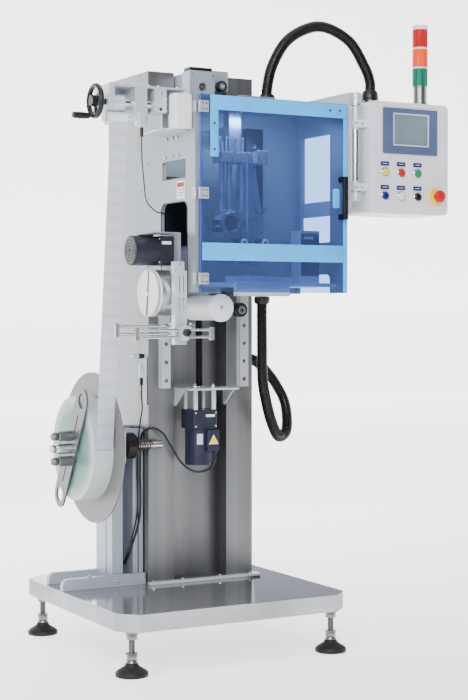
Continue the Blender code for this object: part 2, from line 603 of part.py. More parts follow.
def make_traverse():
    """The cross slide at the top left, with its handwheel, guide roller and cover."""
    x0, x1 = -0.385, LEFT_X - GAP
    y, z = TOP_AXIS_Y, TOP_AXIS_Z
    top = box(x0, x1, y - 0.022, y + 0.085, 1.764, 1.770)
    blocks = [box(a, b, y - 0.022, y + 0.060, low, 1.767)
              for a, b, low in ((-0.299, -0.259, 1.684), (-0.2335, -0.1935, 1.692), (x0, -0.367, 1.699))]
    housing = rod("x", (y, z), 0.023, x0 - 0.003, -0.332, 20)
    back = box(x0, x1, y + 0.075, y + 0.085, 1.700, 1.767)
    rail = rod("x", (y + 0.050, 1.745), 0.006, x0 + 0.004, x1, 8)
    outline = [(y - 0.004, 1.700), (ROLLER_Y - 0.013, 1.690), (ROLLER_Y - 0.013, 1.660), (ROLLER_Y + 0.013, 1.660),
               (ROLLER_Y + 0.013, 1.690), (y + 0.080, 1.715), (y + 0.080, 1.767), (y - 0.004, 1.767)]
    cheek = prism(outline, "x", x0, x0 + 0.0085)
    outline = [(x1, -0.285), (x1, -0.105), (-0.200, -0.105), (-0.215, -0.250), (-0.200, -0.285)]
    shelf = prism(outline, "z", 1.640, 1.644)
    hook = box(-0.252, -0.240, ROLLER_Y - 0.010, y + 0.083, ROLLER_Z - 0.012, 1.710)
    post = box(-0.160, -0.140, y + 0.076, y + 0.084, 1.641, 1.710)
    bore = rod("x", (y, z), 0.0096, -0.45, -0.10, 16)
    pin_hole = rod("x", (ROLLER_Y, ROLLER_Z), 0.0046, -0.40, -0.20, 12)
    sensor = box(-0.288, -0.270, y - 0.034, y - 0.010, 1.645, 1.690)
    node("traverse_frame", "head", "anodised",
         [top, back, rail, cheek, hook, post, shelf, sensor, housing] + blocks, [bore, pin_hole])
    body("handwheel", "head", (WHEEL_X, y, z))
    profile = [(0, -0.436), (0.016, -0.436), (0.018, -0.420), (0.012, -0.404), (0.009, -0.402),
               (0.009, -0.180), (0, -0.180)]
    hub = turned("x", (y, z), profile, 16)
    profile = [(0.041, WHEEL_X), (0.0445, WHEEL_X - 0.007), (0.0495, WHEEL_X - 0.006),
               (0.0515, WHEEL_X), (0.0495, WHEEL_X + 0.006), (0.0445, WHEEL_X + 0.007)]
    rim = turned("x", (y, z), profile, 28)
    spokes = [placed(box(WHEEL_X - 0.004, WHEEL_X + 0.004, 0.010, 0.045, -0.006, 0.006),
                     Matrix.Translation((0, y, z)) @ Matrix.Rotation(math.radians(a), 4, "X"))
              for a in (30, 150, 270)]
    stem = rod("x", (y, z - 0.0455), 0.0045, -0.440, WHEEL_X, 10)
    node("handwheel", "handwheel", "black", [hub, rim, stem] + spokes)
    body("crank_grip", "handwheel", (-0.465, y, z - 0.0455))
    grip = [(0, -0.495), (0.008, -0.495), (0.010, -0.490), (0.0105, -0.465), (0.008, -0.4404), (0, -0.4404)]
    node("crank_grip", "crank_grip", "black", [turned("x", (y, z - 0.0455), grip, 12)])
    body("guide_roller", "head", (-0.343, ROLLER_Y, ROLLER_Z))
    profile = [(0, -0.3835), (0.0042, -0.3835), (0.0042, -0.375), (0.022, -0.375), (0.022, -0.311),
               (0.0042, -0.311), (0.0042, -0.236), (0, -0.236)]
    node("guide_roller", "guide_roller", "white", [turned("x", (ROLLER_Y, ROLLER_Z), profile, 20)])


# ---------------------------------------------------------------- guard door
def make_door():
    body("door", "head", (DOOR_HINGE_X, DOOR_HINGE_Y, 1.45))
    panel = box(DOOR_X0, DOOR_X1, DOOR_Y0, DOOR_Y1, HEAD_Z0, HEAD_Z1)
    bands = [box(-0.080, DOOR_X1 - 0.001, DOOR_Y0 - 0.002, DOOR_Y0 + 0.001, z0, z1)
             for z0, z1 in ((1.703, HEAD_Z1 - 0.001), (1.243, 1.297))]
    node("door_panel", "door", "acrylic", [panel] + bands, smooth=False)
    x, y = 0.392, DOOR_Y0 - GAP
    feet = [box(x - 0.008, x + 0.010, y - 0.026, y, z, z + 0.018) for z in (1.379, 1.497)]
    grip = prism(rounded(x - 0.008, x + 0.010, y - 0.034, y - 0.020, 0.004, 2), "z", 1.379, 1.515)
    node("door_handle", "door", "black", feet + [grip])
    for i, z in enumerate(HINGE_Z, 1):
        leaf = box(-0.1170, -0.0860, DOOR_Y0 - 0.003, DOOR_Y0 - GAP, z - 0.0175, z + 0.0175)
        knuckle = rod("z", (DOOR_HINGE_X, DOOR_HINGE_Y), 0.0035, z - 0.0175, z + 0.0175, 10)
        node(f"door_hinge_{i}", "door", "chrome", [leaf, knuckle])


# ---------------------------------------------------------------- control box
def make_arm():
    x0, x1 = RIGHT_X + GAP, RIGHT_X + 0.012
    plate = box(x0, x1, -0.333, 0.048, 1.400, 1.789)
    window = box(x0 - 0.01, x1 + 0.01, -0.252, -0.052, 1.449, 1.700)
    lug_top = box(x0 + 0.002, POLE_X, POLE_Y - 0.014, POLE_Y + 0.014, 1.757, 1.789)
    lug_low = box(x0 + 0.002, POLE_X, POLE_Y - 0.014, POLE_Y + 0.014, 1.446, 1.470)
    bosses = [rod("z", (POLE_X, POLE_Y), 0.021, a, b, 20) for a, b in ((1.756, 1.790), (1.445, 1.471))]
    pole = rod("z", (POLE_X, POLE_Y), POLE_R, 1.450, 1.780, 20)
    node("control_arm", "head", "anodised", [plate, lug_top, lug_low, pole] + bosses, [window])


def make_control_box():
    body("control_box", "head", (POLE_X, POLE_Y, 1.6))
    case = prism(rounded(BOX_X0, BOX_X1, BOX_Z0, BOX_Z1, 0.018, 4), "y", BOX_Y0, BOX_Y1)
    outline = rounded(BOX_X0 + 0.006, BOX_X1 - 0.006, BOX_Z0 + 0.006, BOX_Z1 - 0.006, 0.014, 3)
    lip = prism(outline, "y", BOX_Y1 - 0.001, BOX_Y1 + 0.004)
    clamps = [box(POLE_X - 0.014, BOX_X0 + 0.004, POLE_Y - 0.016, POLE_Y + 0.016, z - 0.012, z + 0.012)
              for z in (1.488, 1.694)]
    gland = rod("z", (0.5576, -0.262), 0.025, BOX_Z1 - 0.003, BOX_Z1 + 0.032, 20)
    bore = rod("z", (POLE_X, POLE_Y), POLE_R + GAP, 1.46, 1.75, 20)
    wall = 0.0025
    outline = rounded(BOX_X0 + wall, BOX_X1 - wall, BOX_Z0 + wall, BOX_Z1 - wall, 0.0155, 4)
    hollow = prism(outline, "y", BOX_Y0 + wall, BOX_Y1 - wall)
    screen_hole = prism(rounded(0.5576, 0.7524, 1.6096, 1.7384, 0.003, 2), "y", BOX_Y0 - 0.01, BOX_Y0 + 0.010)
    wells = []
    rings = []
    for x, z, r, kind in BUTTONS.values():
        wells.append(rod("y", (x, z), r + 0.0006, BOX_Y0 - 0.02, BOX_Y0 + 0.012, 16))
        rings.append(tube("y", (x, z), r + 0.0006, r + 0.004, BOX_Y0 - 0.004, BOX_Y0 + 0.002, 16))
    node("control_box", "control_box", "box_grey", [case, lip, gland] + clamps + rings,
         [hollow, bore, screen_hole] + wells)
    face = prism(rounded(0.548, 0.762, 1.600, 1.748, 0.003, 2), "y", BOX_Y0 - 0.006, BOX_Y0 - GAP)
    rear = prism(rounded(0.558, 0.752, 1.610, 1.738, 0.003, 2), "y", BOX_Y0 - 0.001, BOX_Y0 + 0.030)
    glass_bed = box(0.588, 0.726, BOX_Y0 - 0.02, BOX_Y0 - 0.003, 1.628, 1.730)
    node("touch_panel", "control_box", "bezel", [face, rear], [glass_bed], smooth=False)
    for name, (x, z, r, kind) in BUTTONS.items():
        body(name, "control_box", (x, BOX_Y0, z))
        front = BOX_Y0
        if name == "emergency_stop":
            profile = [(0, front - 0.036), (0.014, front - 0.036), (0.020, front - 0.030),
                       (0.020, front - 0.022), (0.012, front - 0.014), (r, front - 0.010),
                       (r, front + 0.0055), (0, front + 0.0055)]
        else:
            profile = [(0, front - 0.009), (r - 0.002, front - 0.009), (r, front - 0.007),
                       (r, front + 0.007), (0, front + 0.007)]
        node(name, name, kind, [turned("y", (x, z), profile, 16)])


def make_stack():
    z = BOX_Z1 + GAP
    centre = (STACK_X, STACK_Y)
    node("stack_base", "control_box", "steel", [rod("z", centre, STACK_R, z, 1.8386, 20)])
    profile = [(0, 1.839)]
    for low, high in ((1.839, 1.896), (1.902, 1.961), (1.967, 2.026)):
        profile += [(STACK_R, low), (STACK_R, high), (STACK_R - 0.003, high), (STACK_R - 0.003, high + 0.006)]
    profile[-2:] = [(STACK_R, STACK_TOP - 0.006), (STACK_R - 0.004, STACK_TOP), (0, STACK_TOP)]
    node("stack_lenses", "control_box", "red", [turned("z", centre, profile, 20)])


# ---------------------------------------------------------------- conduits and cables
def make_conduits():
    top = [(0.2317, -0.150, 1.7695), (0.2317, -0.150, 1.810), (0.250, -0.1565, 1.890), (0.302, -0.174, 1.975),
           (0.395, -0.205, 2.017), (0.488, -0.237, 1.975), (0.540, -0.256, 1.890), (0.5576, -0.262, 1.840),
           (0.5576, -0.262, 1.8025)]
    cable("conduit_top", "head", "black", top, CONDUIT_R, 33)
    side = [(0.266, -0.058, 1.1345), (0.266, -0.058, 1.060), (0.268, -0.056, 0.960), (0.273, -0.050, 0.865),
            (0.292, -0.040, 0.791), (0.3245, -0.022, 0.715), (0.367, 0.004, 0.6645), (0.413, 0.034, 0.6745),
            (0.433, 0.058, 0.720), (0.434, 0.080, 0.781), (0.409, 0.098, 0.840), (0.3775, 0.106, 0.8815),
            (0.342, 0.106, 0.913), (0.312, 0.106, 0.925), (0.2915, 0.106, 0.925)]
    cable("conduit_side", "head", "black", side, CONDUIT_R, 48)
    motor = [(0.098, -0.038, 0.6285), (0.098, -0.040, 0.600), (0.082, -0.030, 0.570), (0.045, 0.000, 0.560),
             (0.005, 0.020, 0.590), (-0.030, 0.026, 0.645), (-0.062, 0.026, 0.690), (-0.095, 0.034, 0.706),
             (-0.118, 0.058, 0.690), (-0.1215, 0.066, 0.640), (-0.1215, 0.070, 0.560),
             (-0.1215, 0.072, 0.420), (-0.146, 0.080, 0.320), (-0.158, 0.112, 0.256)]
    cable("motor_cable", "frame", "black", motor, CABLE_R, 60)


make_base()
make_column()
make_lift()
make_screw()
make_screw_support()
make_stand()
make_reel()
make_film()
make_head()
make_mandrel()
make_cutter()
make_feed()
make_feed_roller()
make_traverse()
make_door()
make_arm()
make_control_box()
make_stack()
make_conduits()
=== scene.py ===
"""The looks of the sleeve applicator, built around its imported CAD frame.

Places are written in the base's own frame, like the design: its origin is the middle of the base on
the floor, and shift() moves each piece to the machine's frame.
"""

import json
import math

import bmesh
import bpy
from mathutils import Matrix, Vector


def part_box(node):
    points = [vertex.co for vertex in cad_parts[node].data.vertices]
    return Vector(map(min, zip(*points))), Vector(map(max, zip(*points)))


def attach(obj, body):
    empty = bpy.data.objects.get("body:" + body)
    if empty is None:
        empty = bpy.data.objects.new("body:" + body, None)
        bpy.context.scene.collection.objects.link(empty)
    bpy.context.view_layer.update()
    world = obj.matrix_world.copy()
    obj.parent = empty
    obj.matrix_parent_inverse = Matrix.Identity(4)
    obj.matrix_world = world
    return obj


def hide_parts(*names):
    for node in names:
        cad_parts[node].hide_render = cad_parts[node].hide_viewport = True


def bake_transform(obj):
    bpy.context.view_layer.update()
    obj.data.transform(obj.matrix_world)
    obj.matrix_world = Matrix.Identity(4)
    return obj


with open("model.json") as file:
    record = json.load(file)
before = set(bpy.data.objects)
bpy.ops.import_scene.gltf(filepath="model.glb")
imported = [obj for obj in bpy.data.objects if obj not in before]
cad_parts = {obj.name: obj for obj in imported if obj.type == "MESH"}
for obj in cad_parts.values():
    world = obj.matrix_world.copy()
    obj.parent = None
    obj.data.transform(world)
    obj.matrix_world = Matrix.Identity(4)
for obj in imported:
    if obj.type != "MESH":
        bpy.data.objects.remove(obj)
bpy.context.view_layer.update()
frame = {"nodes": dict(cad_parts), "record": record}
nodes = frame["nodes"]

# The middle of the base, which the places below are measured from.
tray_low, tray_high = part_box("base_tray")
BASE_X = (tray_low.x + tray_high.x) / 2
TRAY_TOP = tray_high.z
disc_low, disc_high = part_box("reel_disc")
REEL = (disc_low + disc_high) / 2


# ---------------------------------------------------------------- camera and light
def add_camera():
    data = bpy.data.cameras.new("camera")
    data.lens = 80.356
    data.sensor_width = 36.0
    camera = bpy.data.objects.new("camera", data)
    camera.location = (-2.4918, -4.5526, 1.0852)
    camera.rotation_euler = (math.radians(88.607), 0.0, math.radians(-29.03))
    bpy.context.scene.collection.objects.link(camera)
    bpy.context.scene.camera = camera


def area_light(name, place, target, size, power, colour=(1, 1, 1)):
    data = bpy.data.lights.new(name, "AREA")
    data.shape = "RECTANGLE"
    data.size, data.size_y = size
    data.energy = power
    data.color = colour
    lamp = bpy.data.objects.new(name, data)
    lamp.location = place
    lamp.rotation_euler = (Vector(target) - Vector(place)).to_track_quat("-Z", "Y").to_euler()
    bpy.context.scene.collection.objects.link(lamp)


def add_lights():
    """A studio: bright behind and to the left, darker in front, so that bare metal has contrast."""
    world = bpy.data.worlds.new("studio")
    bpy.context.scene.world = world
    world.use_nodes = True
    tree = world.node_tree
    back = tree.nodes["Background"]
    back.inputs["Strength"].default_value = 1.0
    around = tree.nodes.new("ShaderNodeTexCoord").outputs["Generated"]
    side = vectors(tree, "DOT_PRODUCT", around, (-0.62, 0.62, 0.48))
    sky = tint(tree, maths(tree, "MULTIPLY_ADD", side, 0.5, 0.5), (0.17, 0.175, 0.185), (1.0, 1.0, 1.0),
               0.2, 0.85)
    tree.links.new(sky, back.inputs["Color"])
    area_light("key", (-3.0, -2.4, 3.2), (0, 0, 1.1), (1.6, 2.4), 105)
    area_light("front", (-2.2, -4.6, 2.9), (0, 0, 1.1), (1.6, 1.6), 190)
    area_light("fill", (3.6, -1.2, 2.0), (0, 0, 1.0), (0.9, 2.6), 40)
    area_light("back", (0.5, 3.0, 3.0), (0, 0, 1.2), (3.0, 2.0), 50)
    area_light("inside", (-0.01, -0.27, 1.7), (0.0, -0.12, 1.3), (0.4, 0.05), 2.6, (0.92, 0.96, 1.0))
    area_light("top", (0, -0.3, 4.4), (0, 0, 0), (2.8, 2.8), 70)


# ---------------------------------------------------------------- material helpers
def new_material(name, colour, rough, metal=0.0, **values):
    """A Principled material, with its tree and shader for the details that follow."""
    material = bpy.data.materials.new(name)
    material.use_nodes = True
    shader = material.node_tree.nodes["Principled BSDF"]
    shader.inputs["Base Color"].default_value = (*colour, 1)
    shader.inputs["Roughness"].default_value = rough
    shader.inputs["Metallic"].default_value = metal
    for key, value in values.items():
        shader.inputs[key.replace("_", " ")].default_value = value
    return material, material.node_tree, shader


def texture_space(tree, scale=(1, 1, 1)):
    coord = tree.nodes.new("ShaderNodeTexCoord")
    mapping = tree.nodes.new("ShaderNodeMapping")
    mapping.inputs["Scale"].default_value = scale
    tree.links.new(coord.outputs["Object"], mapping.inputs["Vector"])
    return mapping.outputs["Vector"]


def feed(tree, socket, value):
    """Links an input to a socket, or sets it to a plain value."""
    if isinstance(value, bpy.types.NodeSocket):
        tree.links.new(value, socket)
    else:
        socket.default_value = value


def operate(tree, kind, operation, values):
    node = tree.nodes.new(kind)
    node.operation = operation
    for socket, value in zip(node.inputs, values):
        feed(tree, socket, value)
    return node.outputs


def maths(tree, operation, *values):
    return operate(tree, "ShaderNodeMath", operation, values)[0]


def vectors(tree, operation, *values):
    output = "Value" if operation in ("DOT_PRODUCT", "LENGTH") else "Vector"
    return operate(tree, "ShaderNodeVectorMath", operation, values)[output]


def mixed(tree, share, first, second, data="RGBA", blend="MIX"):
    node = tree.nodes.new("ShaderNodeMix")
    node.data_type = data
    node.blend_type = blend
    for key, value in (("Factor", share), ("A", first), ("B", second)):
        feed(tree, node.inputs[key], value)
    return node.outputs["Result"]


def along(tree, axis):
    """A place's coordinate along X, Y or Z."""
    node = tree.nodes.new("ShaderNodeSeparateXYZ")
    tree.links.new(texture_space(tree), node.inputs[0])
    return node.outputs[axis]


def see_through(tree, shader, share, colour=(1, 1, 1)):
    """Lets a share of the light pass straight through the shader."""
    clear = tree.nodes.new("ShaderNodeBsdfTransparent")
    clear.inputs["Color"].default_value = (*colour, 1)
    mix = tree.nodes.new("ShaderNodeMixShader")
    mix.inputs["Fac"].default_value = share
    tree.links.new(shader.outputs[0], mix.inputs[1])
    tree.links.new(clear.outputs[0], mix.inputs[2])
    tree.links.new(mix.outputs[0], tree.nodes["Material Output"].inputs["Surface"])


def noise(tree, space, scale, detail=3.0, rough=0.5):
    node = tree.nodes.new("ShaderNodeTexNoise")
    node.inputs["Scale"].default_value = scale
    node.inputs["Detail"].default_value = detail
    node.inputs["Roughness"].default_value = rough
    tree.links.new(space, node.inputs["Vector"])
    return node.outputs["Fac"]


def spread(tree, source, low, high, from_low=0.3, from_high=0.7):
    node = tree.nodes.new("ShaderNodeMapRange")
    node.inputs["From Min"].default_value = from_low
    node.inputs["From Max"].default_value = from_high
    node.inputs["To Min"].default_value = low
    node.inputs["To Max"].default_value = high
    tree.links.new(source, node.inputs["Value"])
    return node.outputs["Result"]


def ramp(tree, source, *stops):
    """Colours at places from 0 to 1 along the source, in rising order."""
    node = tree.nodes.new("ShaderNodeValToRGB")
    elements = node.color_ramp.elements
    elements[1].position = stops[-1][0]
    elements[1].color = (*stops[-1][1], 1)
    elements[0].position = stops[0][0]
    elements[0].color = (*stops[0][1], 1)
    for place, colour in stops[1:-1]:
        elements.new(place).color = (*colour, 1)
    tree.links.new(source, node.inputs["Fac"])
    return node.outputs["Color"]


def tint(tree, source, dark, light, from_low=0.3, from_high=0.7):
    return ramp(tree, source, (from_low, dark), (from_high, light))


def shades(colour, down, up, lift=0.0):
    """A darker and a lighter version of a colour."""
    return tuple(c * down for c in colour), tuple(min(1, c * up + lift) for c in colour)


def bump(tree, shader, source, strength, distance):
    node = tree.nodes.new("ShaderNodeBump")
    node.inputs["Strength"].default_value = strength
    node.inputs["Distance"].default_value = distance
    tree.links.new(source, node.inputs["Height"])
    tree.links.new(node.outputs["Normal"], shader.inputs["Normal"])
    return node


def soft_edges(tree, bump_node, radius):
    """Rounds the look of sharp edges, as a light deburring does."""
    node = tree.nodes.new("ShaderNodeBevel")
    node.samples = 4
    node.inputs["Radius"].default_value = radius
    tree.links.new(node.outputs["Normal"], bump_node.inputs["Normal"])


def brushed(name, colour, rough, grain=(1, 1, 60), metal=1.0, cloud=0.1):
    """Brushed or ground metal: fine lines across the grain's long axes, and cloudy handling marks."""
    material, tree, shader = new_material(name, colour, rough, metal)
    lines = noise(tree, texture_space(tree, grain), 28, 2, 0.6)
    clouds = noise(tree, texture_space(tree), 3.5, 4, 0.55)
    tree.links.new(tint(tree, clouds, *shades(colour, 1 - cloud, 1 + cloud)), shader.inputs["Base Color"])
    uneven = maths(tree, "MULTIPLY_ADD", lines, 0.16, spread(tree, clouds, rough - 0.12, rough))
    tree.links.new(uneven, shader.inputs["Roughness"])
    soft_edges(tree, bump(tree, shader, lines, 0.1, 0.0003), 0.0012)
    return material


def make_stainless():
    """Brushed stainless with painted reflections, broad upright bands such as its slightly uneven sheet
    reflects, and painted shade darkening it towards the recess wall at x = 0.19.
    """
    material = brushed("stainless_sheet", (0.275, 0.28, 0.29), 0.34, (60, 60, 1), metal=0.84, cloud=0.1)
    tree = material.node_tree
    shader = tree.nodes["Principled BSDF"]
    shader.inputs["Specular Tint"].default_value = (0.72, 0.73, 0.77, 1)
    plain = shader.inputs["Base Color"].links[0].from_socket
    # Painted reflection: broad upright bands that darken the base colour.
    bands = noise(tree, texture_space(tree, (17, 13, 0.12)), 1.0, 2, 0.4)
    # Painted shade: darker from x = 0.158 towards the foot of the recess wall at x = 0.19; from the wall on
    # it stays plain.
    recess_shade = spread(tree, along(tree, "X"), 1.0, 0.0, BASE_X + 0.158, BASE_X + 0.188)
    beyond = spread(tree, along(tree, "X"), 0.0, 1.0, BASE_X + 0.1902, BASE_X + 0.1906)
    recess_shade_factor = spread(tree, maths(tree, "MAXIMUM", recess_shade, beyond), 0.42, 1.0, 0.0, 1.0)
    painted_light_level = maths(tree, "MULTIPLY", spread(tree, bands, 0.76, 1.0, 0.36, 0.62), recess_shade_factor)
    # The near-black colour below is what the painted reflection bands and the painted shade mix towards.
    tree.links.new(mixed(tree, painted_light_level, (0.012, 0.014, 0.016, 1), plain), shader.inputs["Base Color"])
    return material


def make_tray_steel():
    """Bright stainless sheet: polished on top, where a painted reflection fades from light to near black;
    clouded by handling on its folded sides.
    """
    material = brushed("tray_sheet", (0.42, 0.43, 0.455), 0.3, (1, 40, 40), metal=0.8, cloud=0.3)
    tree = material.node_tree
    shader = tree.nodes["Principled BSDF"]
    sides = shader.inputs["Base Color"].links[0].from_socket
    is_top = spread(tree, along(tree, "Z"), 0.0, 1.0, TRAY_TOP - 0.0012, TRAY_TOP - 0.0004)
    # Painted reflection on the top: light towards one side, fading to near black along a diagonal.
    slant = vectors(tree, "DOT_PRODUCT", texture_space(tree), (1.0, -0.55, 0.0))
    across = tint(tree, spread(tree, slant, 0.0, 1.0, BASE_X + 0.228, BASE_X + 0.27), (0.6, 0.61, 0.63),
                  (0.115, 0.118, 0.155), 0.0, 1.0)
    colour = mixed(tree, is_top, sides, across)
    tree.links.new(colour, shader.inputs["Base Color"])
    tree.links.new(colour, shader.inputs["Specular Tint"])
    rough = shader.inputs["Roughness"].links[0].from_socket
    tree.links.new(mixed(tree, is_top, rough, 0.1, "FLOAT"), shader.inputs["Roughness"])
    return material


def anodised(name, colour, rough, metal):
    """Milled and anodised aluminium plate: a fine even tooth with very faint clouds."""
    material, tree, shader = new_material(name, colour, rough, metal)
    tooth = noise(tree, texture_space(tree), 900, 2)
    clouds = noise(tree, texture_space(tree), 5, 3)
    tree.links.new(tint(tree, clouds, *shades(colour, 0.94, 1.05)), shader.inputs["Base Color"])
    tree.links.new(spread(tree, clouds, rough - 0.06, rough + 0.06), shader.inputs["Roughness"])
    soft_edges(tree, bump(tree, shader, tooth, 0.08, 0.0002), 0.0012)
    return material


def moulded(name, colour, rough, grain, depth, gloss=0.5):
    """Moulded plastic, rubber or paint: a fine orange-peel or leather grain and slightly uneven gloss."""
    material, tree, shader = new_material(name, colour, rough, Specular_IOR_Level=gloss)
    skin = noise(tree, texture_space(tree), grain, 2)
    wear = noise(tree, texture_space(tree), 9, 4, 0.6)
    tree.links.new(spread(tree, wear, rough - 0.07, rough + 0.07), shader.inputs["Roughness"])
    tree.links.new(tint(tree, wear, *shades(colour, 0.9, 1.08)), shader.inputs["Base Color"])
    soft_edges(tree, bump(tree, shader, skin, depth, 0.0003), 0.0008)
    return material


def make_acrylic():
    """Tinted clear acrylic with a light bluish haze and faint wiping marks in its gloss."""
    material, tree, shader = new_material("blue_acrylic", (0.17, 0.23, 0.46), 0.05)
    marks = noise(tree, texture_space(tree, (1, 1, 3)), 6, 4)
    tree.links.new(spread(tree, marks, 0.03, 0.09), shader.inputs["Roughness"])
    see_through(tree, shader, 0.895, (0.49, 0.62, 0.86))
    return material


def make_web_film():
    """Flat sleeve film: translucent white with a fine staggered dot pattern."""
    material, tree, shader = new_material("film_flat", (0.86, 0.89, 0.91), 0.3, 0.0, Subsurface_Weight=0.15)
    dots = tree.nodes.new("ShaderNodeTexVoronoi")
    dots.inputs["Scale"].default_value = 210
    dots.inputs["Randomness"].default_value = 0.12
    tree.links.new(texture_space(tree), dots.inputs["Vector"])
    tree.links.new(tint(tree, dots.outputs["Distance"], (0.2, 0.23, 0.29), (0.48, 0.52, 0.61), 0.18, 0.36),
                   shader.inputs["Base Color"])
    creases = noise(tree, texture_space(tree, (4, 1, 0.5)), 9, 3)
    node = bump(tree, shader, creases, 0.06, 0.002)
    soft_edges(tree, node, 0.0004)
    see_through(tree, shader, 0.12)
    return material


def make_roll_film():
    """The wound roll's side: many edge-on layers, greener towards the core and whitish at the rim."""
    material, tree, shader = new_material("film_rolled", (0.62, 0.78, 0.72), 0.35, 0.0,
                                          Subsurface_Weight=0.2)
    offset = vectors(tree, "SUBTRACT", texture_space(tree), REEL)
    radius = vectors(tree, "LENGTH", vectors(tree, "MULTIPLY", offset, (0, 1, 1)))
    layers = ramp(tree, radius, (0.045, (0.1, 0.2, 0.18)), (0.12, (0.12, 0.25, 0.22)),
                  (0.135, (0.3, 0.38, 0.36)), (0.165, (0.5, 0.56, 0.56)))
    rings = maths(tree, "SINE", maths(tree, "MULTIPLY", radius, 820))
    shade = mixed(tree, spread(tree, rings, 0.0, 0.55, -1, 1), layers, (0.45, 0.62, 0.58, 1),
                  blend="MULTIPLY")
    tree.links.new(shade, shader.inputs["Base Color"])
    bump(tree, shader, rings, 0.25, 0.0006)
    return material


def lit_lens(name, colour, glow):
    material, tree, shader = new_material(name, colour, 0.3, 0.0, Specular_IOR_Level=0.12,
                                          Emission_Strength=glow)
    shader.inputs["Emission Color"].default_value = (*colour, 1)
    ribs = tree.nodes.new("ShaderNodeTexWave")
    ribs.wave_type = "RINGS"
    ribs.inputs["Scale"].default_value = 30
    tree.links.new(texture_space(tree, (0, 0, 6)), ribs.inputs["Vector"])
    cloud = noise(tree, texture_space(tree, (60, 60, 4)), 4, 2)
    tree.links.new(tint(tree, cloud, *shades(colour, 0.75, 1.15, 0.02)), shader.inputs["Base Color"])
    bump(tree, shader, ribs.outputs["Fac"], 0.25, 0.0008)
    return material


# colour, roughness, grain, metal, clouds
BRUSHED = {
    "ground_steel": ((0.44, 0.45, 0.47), 0.24, (50, 50, 2), 0.85),
    "chrome_parts": ((0.62, 0.63, 0.65), 0.13, (30, 30, 4), 1.0, 0.04),
    "black_steel": ((0.022, 0.022, 0.025), 0.35, (1, 1, 40)),
    "reel_sheet": ((0.175, 0.165, 0.168), 0.42, (1, 30, 30), 0.5),
    "arm_steel": ((0.13, 0.133, 0.14), 0.34, (1, 30, 30), 0.8),
    "stud_steel": ((0.2, 0.2, 0.21), 0.26, (50, 50, 2), 0.9),
    "stack_steel": ((0.24, 0.255, 0.265), 0.3, (30, 30, 4), 1.0, 0.05),
    "spring_steel": ((0.17, 0.115, 0.1), 0.3, (30, 30, 4)),
}
# colour, roughness, metal
ANODISED = {
    "anodised_plate": ((0.56, 0.61, 0.67), 0.38, 0.45),
    "grey_plate": ((0.25, 0.29, 0.325), 0.42, 0.4),
    "frame_extrusion": ((0.38, 0.43, 0.5), 0.42, 0.4),
    "hinge_steel": ((0.42, 0.43, 0.44), 0.36, 0.35),
    "rail_steel": ((0.6, 0.63, 0.66), 0.32, 0.35),
}
# colour, roughness, grain, its depth, gloss
MOULDED = {
    "foot_rubber": ((0.007, 0.007, 0.008), 0.5, 400, 0.25, 0.3),
    "roller_rubber": ((0.014, 0.014, 0.016), 0.55, 500, 0.25, 0.3),
    "motor_paint": ((0.011, 0.015, 0.036), 0.38, 500, 0.15, 0.35),
    "feed_motor_black": ((0.011, 0.013, 0.022), 0.42, 450, 0.2, 0.35),
    "white_plastic": ((0.7, 0.72, 0.74), 0.4, 500, 0.06),
    "black_plastic": ((0.005, 0.005, 0.0065), 0.34, 500, 0.15, 0.35),
    "box_enamel": ((0.66, 0.66, 0.7), 0.3, 300, 0.06),
    "panel_bezel": ((0.065, 0.095, 0.19), 0.38, 600, 0.1, 0.3),
    "button_yellow": ((0.72, 0.58, 0.06), 0.18, 300, 0.03),
    "button_red": ((0.42, 0.01, 0.008), 0.18, 300, 0.03),
    "button_green": ((0.004, 0.2, 0.075), 0.18, 300, 0.03),
    "button_blue": ((0.004, 0.008, 0.18), 0.18, 300, 0.03),
    "button_white": ((0.74, 0.74, 0.76), 0.18, 300, 0.03),
    "button_black": ((0.006, 0.006, 0.007), 0.18, 300, 0.03),
    "stop_red": ((0.44, 0.006, 0.006), 0.32, 300, 0.04, 0.2),
    "cable_black": ((0.0035, 0.0038, 0.005), 0.3, 600, 0.12, 0.4),
    "violet_edge": ((0.045, 0.06, 0.42), 0.25, 300, 0.03),
    "band_blue": ((0.04, 0.38, 0.84), 0.3, 400, 0.03, 0.3),
    "screen": ((0.15, 0.185, 0.22), 0.2, 40, 0.01),
    "screen_frame": ((0.46, 0.5, 0.56), 0.35, 600, 0.08),
    "label_white": ((0.8, 0.8, 0.79), 0.4, 300, 0.02),
    "label_red": ((0.36, 0.008, 0.01), 0.45, 300, 0.02, 0.2),
    "label_silver": ((0.55, 0.62, 0.68), 0.3, 300, 0.02),
    "label_yellow": ((0.9, 0.62, 0.12), 0.38, 300, 0.02),
    "label_plate": ((0.01, 0.018, 0.11), 0.35, 300, 0.04),
    "stop_ring": ((0.85, 0.62, 0.05), 0.35, 300, 0.04),
    # Painted shade standing in for holes, and black print.
    "dark_inside": ((0.01, 0.011, 0.014), 0.6, 300, 0.05),
    # Painted shade standing in for slots and louvres, and dark details: seams, print marks, small screws.
    "dark_slot": ((0.018, 0.022, 0.028), 0.5, 300, 0.05),
    "copper_band": ((0.55, 0.22, 0.12), 0.35, 300, 0.04),
}
# colour, glow
LENSES = {
    "lens_red": ((0.42, 0.001, 0.002), 0.1),
    "lens_amber": ((0.82, 0.055, 0.004), 0.12),
    "lens_green": ((0.0005, 0.15, 0.085), 0.08),
}
MAT = {
    "stainless_sheet": make_stainless(),
    "tray_sheet": make_tray_steel(),
    "blue_acrylic": make_acrylic(),
    "film_flat": make_web_film(),
    "film_rolled": make_roll_film(),
}
for make, table in ((brushed, BRUSHED), (anodised, ANODISED), (moulded, MOULDED), (lit_lens, LENSES)):
    for finish, values in table.items():
        MAT[finish] = make(finish, *values)


